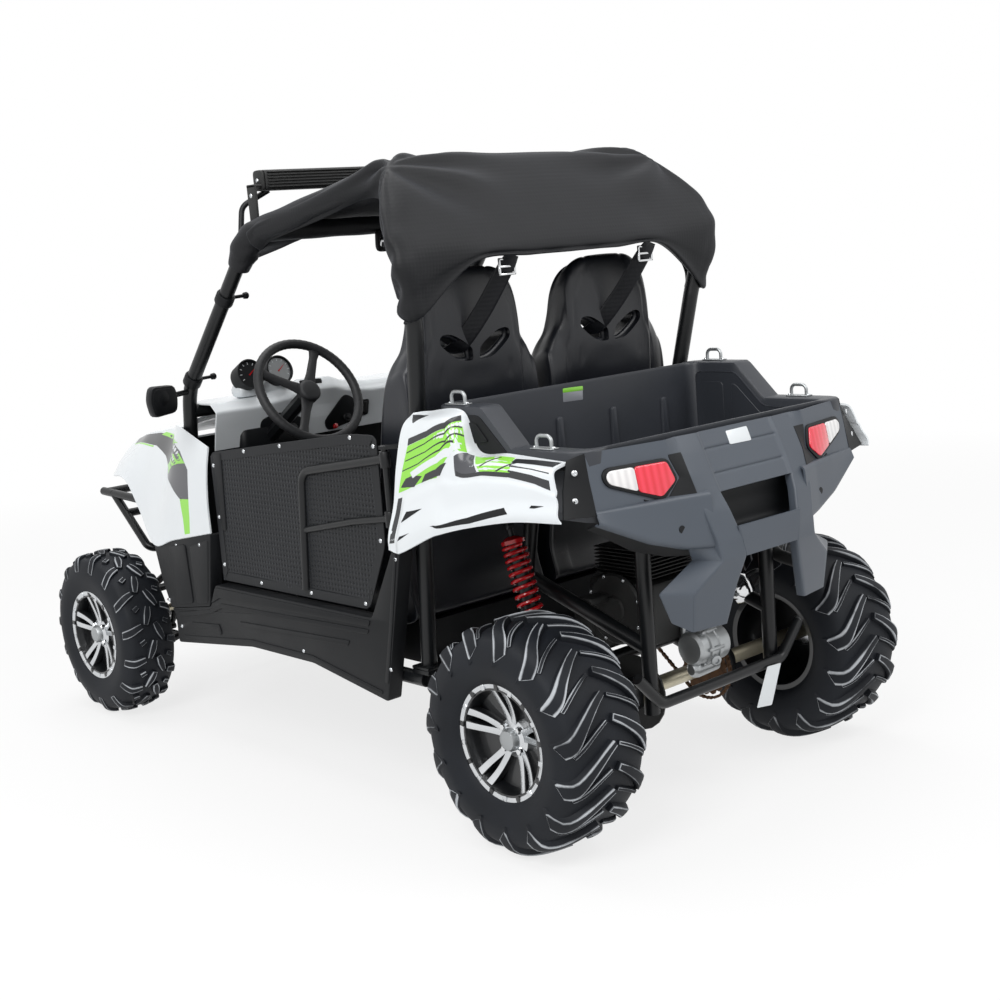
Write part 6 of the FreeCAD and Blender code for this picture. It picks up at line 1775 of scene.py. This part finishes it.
# %% Light bar and interior mirror
end_section = [(-58, 1602), (-20, 1602), (-16, 1610), (-16, 1648), (-22, 1658), (-56, 1658), (-62, 1650),
    (-62, 1608)]
bar_parts = [slab(end_section, -408, 408, sideways, 5, 2)]
bar_parts += both([slab(end_section, 408, 419, sideways, 9, 4)])
bar_parts += [slab([(-18, z), (-11, z), (-11, z + 3), (-18, z + 3)], -400, 400, sideways, 1, 0.5)
    for z in range(1610, 1652, 8)]
bar_parts += [(*lathe([(0, 17), (1.5, 17), (0.8, 14), (-1, 0.1)], 32, (x, -62.2, 1629), (0, -1, 0)),
    lens_clear) for x in range(-380, 381, 40)]
bar_parts += both([slab([(-59, 1612), (-19, 1612), (-19, 1620), (-59, 1620)], 412, 444, sideways, 3, 1),
    slab([(-57, 1508), (-21, 1514), (-19, 1618), (-59, 1618)], 436, 444, sideways, 5, 1.5)])
bar_parts += both([(*tube([(380, -48, 1604), (436, -104, 1566), (458, -104, 1425)], 16, 34), powder_black)])
bar_parts += both([screw((444, -40, 1590), ACROSS, 6), screw((419, -40, 1630), ACROSS, 6)])
piece("light_bar_unit", bar_parts, cast_iron, "chassis", ["light_bar"], smooth=35)

glass_parts = [slab([(-95, 1422), (-84, 1412), (84, 1412), (95, 1422), (92, 1470), (80, 1476), (-80, 1476),
               (-92, 1470)], 34, 50, upright, 12, 5),
               (*slab([(-86, 1424), (86, 1424), (84, 1466), (-84, 1466)], 48, 50.6, upright, 12, 0.8),
                chrome), box_part((-12, 36, 1472), (12, 46, 1488), 3)]
piece("interior_mirror_unit", glass_parts, black_pp, "chassis", ["interior_mirror"],
    smooth=40)

print("cab ready")

# %% [markdown]
# ## Engine and drive
# What shows between the tubes: a finned cylinder on a crankcase, the reversing gear
# case behind it, the chain round its two sprockets, and the silencer above.

# %% Engine
engine_low, engine_high = (np.array(corner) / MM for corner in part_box("engine"))
engine_parts = [box_part((-100, 842, 400), (136, 1058, 560), 14),
    box_part((-100, 775, 353), (136, 860, 473), 16), box_part((-58, 868, 550), (98, 1022, 606), 10)]
engine_parts += [box_part((-75, 850, z), (115, 1040, z + 3.4), 1.6) for z in np.arange(566, 634, 9.4)]
engine_parts += [box_part((-46, 880, 620), (86, 1010, 637), 8)]
engine_parts += [box_part((engine_low[0], 878, 502), (engine_high[0], 922, 524), 5)]
clutch_cover = [(0, 92), (4, 92), (9, 86), (9, 34), (14, 30), (14, 0.1)]
fan_cover = [(0, 80), (5, 79), (12, 70), (12, 44), (8, 42), (8, 0.1)]
engine_parts += [lathe(clutch_cover, 56, (136, 938, 486), ACROSS),
                 lathe(fan_cover, 48, (-100, 940, 484), (-1, 0, 0)),
                 lathe([(0, 12), (28, 12), (28, 0.1)], 24, (-100, 800, 380), (-1, 0, 0))]
engine_parts += [screw((145, 938 + 86 * math.cos(a), 486 + 86 * math.sin(a)), ACROSS, 5)
    for a in np.radians(np.arange(20, 380, 45))]
engine_parts += [(*lathe([(0, 12), (18, 11), (20, 7), (34, 6), (36, 0.1)], 16, (20, 1036, 628),
    (0, 0.8, 0.3)), white_abs)]
piece("engine_block", engine_parts, cast_iron, "chassis", ["engine"], smooth=35)
print("engine parts:", len(engine_parts))

# %% Gear case and breather can
case_line = [(-58, 20), (-56, 40), (-50, 46), (-20, 47), (-18, 50), (-8, 50), (-6, 46.5), (14, 46.5),
    (16, 50), (24, 50), (26, 45), (46, 43), (54, 36), (58, 18)]
case_parts = [lathe(case_line, 64, (0, 1098, 382), ACROSS),
              lathe([(-40, 10), (-38, 20), (34, 22), (44, 20), (52, 12)], 40, (0, 1098, 328), ACROSS),
              box_part((-30, 1062, 330), (26, 1120, 424), 10),
              box_part((-46, 1060.5, 352), (44, 1076, 436), 6)]
for a in np.radians(np.arange(0, 360, 60)):
    y, z = 1098 + 46 * math.cos(a), 382 + 46 * math.sin(a)
    case_parts += [lathe([(-22, 5), (-20, 6), (28, 6), (30, 4.5), (33, 4.5), (33, 0.1)], 12, (0, y, z),
        ACROSS)]
case_parts += [lathe([(0, 14), (6, 14), (8, 11), (8, 7), (4, 6), (4, 0.1)], 24, (10, 1143, 352),
    (0.3, 0.9, -0.2))]
piece("gear_case_casting", case_parts, cast_alloy, "chassis", ["gear_case"], smooth=35)

# Breather can on a hose, to the right of the crankcase.
can = [lathe([(-26, 20), (-24, 34), (-10, 38), (16, 37), (26, 30), (30, 18), (31, 0.1)], 44,
    (-232, 1040, 470), (-0.5, 0.75, 0.45))]
hose = [tube([(-104, 960, 470), (-150, 985, 476), (-204, 1010, 466), (-222, 1030, 468)], 20, 26),
    tube([(-240, 1046, 500), (-262, 1070, 520), (-300, 1060, 500), (-318, 1000, 440), (-318, 960, 410)],
    12, 26)]
piece("breather_can", can + [(*part, black_pp) for part in hose], chrome, "chassis",
    smooth=40)
print("gear case parts:", len(case_parts))

# %% Chain
chain_low, chain_high = (np.array(corner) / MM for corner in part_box("chain"))
rear_centre, front_centre = np.array([995, 279.5]), np.array([800, 380.0])
rear_radius, front_radius = rear_centre[1] - chain_low[2] - 4, front_centre[0] - chain_low[1] - 4
gap = front_centre - rear_centre
apart = np.linalg.norm(gap)
way, side = gap / apart, np.array([-gap[1], gap[0]]) / apart
meet = math.acos((rear_radius - front_radius) / apart)
rear_turn, front_turn = np.linspace(meet, 2 * np.pi - meet, 80), np.linspace(-meet, meet, 40)


def chain_arc(centre, radius, turn):
    """The chain's path round one sprocket, with angles counted from the line between the two centres."""
    return centre + radius * (np.cos(turn)[:, None] * way + np.sin(turn)[:, None] * side)


loop = np.concatenate([chain_arc(rear_centre, rear_radius, rear_turn),
    chain_arc(front_centre, front_radius, front_turn)])
CHAIN_PITCH = 12.7
pins = evenly(loop, pitch=CHAIN_PITCH)
chain_x = (chain_low[0] + chain_high[0]) / 2
PLATE_RADIUS, PLATE_WAIST = 3.9, 2.7
arc = np.radians(np.arange(-90, 91, 45))
links = []
for number, (here, after) in enumerate(zip(pins, np.roll(pins, -1, axis=0))):
    along_link = unit(after - here)
    over = np.array([-along_link[1], along_link[0]])
    bow = PLATE_RADIUS * (np.cos(arc)[:, None] * along_link + np.sin(arc)[:, None] * over)
    middle, waist_half = (here + after)[None] / 2, over * PLATE_WAIST
    outline = np.concatenate([after + bow, middle + waist_half, here - bow, middle - waist_half])
    off = 3.6 if number % 2 else 2.3  # outer and inner plates take turns
    for sign in (1, -1):
        links.append(solid(np.stack([sideways(outline[:, 0], outline[:, 1],
            np.full(len(outline), chain_x + sign * off + d)) for d in (-0.6, 0.6)])))
    links.append(lathe([(-2, 3.3), (2, 3.3)], 10, (chain_x, *here), ACROSS))
    links.append(lathe([(-4.6, 1.7), (4.6, 1.7)], 8, (chain_x, *here), ACROSS))
piece("chain_links", links, rusty_steel, "chassis", ["chain"], smooth=40)
print("chain:", len(pins), "links")

# %% Silencer and tag
silencer = lathe([(-206, 20), (-204, 32), (-190, 43), (-186, 43), (-184, 45), (-176, 45), (-174, 43.6),
    (70, 43.6), (72, 45), (80, 45), (82, 43), (90, 43), (104, 32), (106, 20)], 56, (0, 1000, 684), ACROSS)
outlet = tube([(-190, 1000, 684), (-250, 1010, 670), (-276, 1130, 560), (-276, 1215, 545)], 34, 40, 24)
straps = [lathe([(x - 9, 44), (x - 9, 46.5), (x + 9, 46.5), (x + 9, 44)], 48, (0, 1000, 684), ACROSS,
    ring=True) for x in (-120, 30)]
piece("silencer", [silencer, outlet, *straps], cast_iron, "chassis", ["exhaust"], smooth=40)

# A blank paper tag hangs from the rear guard bar; its loop of string is not drawn.
tag = [slab([(-150, 300), (-206, 296), (-160, 196), (-100, 204)], 1176, 1177, upright, 4, 0.3)]
piece("hanging_tag", tag, white_abs, "chassis")
print("silencer straps:", len(straps))

# %% Materials for the CAD parts that stay
kept = {"rear_axle": axle_steel, "rear_sprocket": rusty_steel, "brake_disc": cast_iron,
        "drive_sprocket": rusty_steel, "knuckle_left": cast_iron, "knuckle_right": cast_iron,
        "rack_bar": axle_steel, "rack_housing": cast_alloy, "steering_column": powder_black,
        "floor_pan": black_pp, "seat_base": black_pp, "door_hinges": powder_black,
        "headlamps": lens_clear}
for name, material in kept.items():
    node = nodes[name]
    for place in node.material_slots:
        place.material = material
    edge = node.modifiers.new("edge", "BEVEL")
    edge.width, edge.segments, edge.limit_method, edge.angle_limit = 0.8 * MM, 2, "ANGLE", math.radians(35)
print("CAD parts dressed:", len(kept))

# %% [markdown]
# ## Setting
# A pale floor, a soft room and three broad lamps. What the camera, glass and
# bright metal see of the room is plain white, and the floor keeps a soft shadow.

# %% Floor
def seen_ray(tree):
    """1 for a ray from the camera, off a glossy surface or through glass, and 0 for the lighting."""
    path = add(tree, "ShaderNodeLightPath")
    straight = add(tree, "ShaderNodeMath", {0: path.outputs["Is Camera Ray"],
        1: path.outputs["Is Glossy Ray"]}, operation="MAXIMUM")
    return add(tree, "ShaderNodeMath", {0: straight.outputs[0], 1: path.outputs["Is Transmission Ray"]},
        operation="MAXIMUM").outputs[0]


def floor_material():
    """Pale paint: within 2.4 m a fifth of what is seen is lit and keeps the shadow; 6 m out it is white."""
    material, tree, place = new_material("studio_floor_paint")
    lit = add(tree, "ShaderNodeBsdfDiffuse", {"Color": paint("#F4F4F4")})
    plain = add(tree, "ShaderNodeEmission", {"Color": (1, 1, 1, 1), "Strength": 1.0})
    smaller = add(tree, "ShaderNodeMapping", {"Vector": place, "Scale": (1 / 6, 1 / 6, 1 / 6)})
    near = add(tree, "ShaderNodeTexGradient", {"Vector": smaller.outputs[0]}, gradient_type="SPHERICAL")
    plain_share = add(tree, "ShaderNodeMapRange", {"Value": near.outputs["Fac"], "From Min": 0.0,
        "From Max": 0.6, "To Min": 1.0, "To Max": 0.78})
    share = add(tree, "ShaderNodeMath", {0: seen_ray(tree), 1: plain_share.outputs["Result"]},
        operation="MULTIPLY")
    close_material(tree, add(tree, "ShaderNodeMixShader",
        {0: share.outputs[0], 1: lit.outputs[0], 2: plain.outputs[0]}))
    return material


floor_mesh = bpy.data.meshes.new("floor")
floor_mesh.from_pydata([(-40, -40, 0), (40, -40, 0), (40, 40, 0), (-40, 40, 0)], [], [(0, 1, 2, 3)])
floor_mesh.materials.append(floor_material())
floor = bpy.data.objects.new("floor", floor_mesh)
bpy.context.scene.collection.objects.link(floor)
print("floor:", floor.name)

# %% The room
world = bpy.data.worlds.new("room")
bpy.context.scene.world = world
world.use_nodes = True
world.node_tree.nodes.clear()
ROOM_LIGHT = 0.42
soft = add(world.node_tree, "ShaderNodeBackground", {"Color": (1, 1, 1, 1), "Strength": ROOM_LIGHT})
white = add(world.node_tree, "ShaderNodeBackground", {"Color": (1, 1, 1, 1), "Strength": 1.0})
mix = add(world.node_tree, "ShaderNodeMixShader",
    {0: seen_ray(world.node_tree), 1: soft.outputs[0], 2: white.outputs[0]})
add(world.node_tree, "ShaderNodeOutputWorld", {"Surface": mix.outputs[0]})
print("room light:", ROOM_LIGHT)


# %% Lamps of the studio
def lamp(name, place, aim, size, power):
    """A square soft lamp that looks at a point."""
    data = bpy.data.lights.new(name, "AREA")
    data.shape, data.size, data.energy = "SQUARE", size, power
    item = bpy.data.objects.new(name, data)
    bpy.context.scene.collection.objects.link(item)
    item.location = place
    item.rotation_euler = (Vector(aim) - Vector(place)).to_track_quat("-Z", "Y").to_euler()


lamp("key_lamp", (4.5, 2.5, 4.5), (0, 0, 0.8), 3.0, 200)
lamp("fill_lamp", (-2.0, 4.8, 4.8), (0, 0.5, 0.7), 3.0, 115)
lamp("top_lamp", (0.0, -1.0, 5.5), (0, 0, 0), 4.0, 140)
print("lamps:", len(bpy.data.lights))
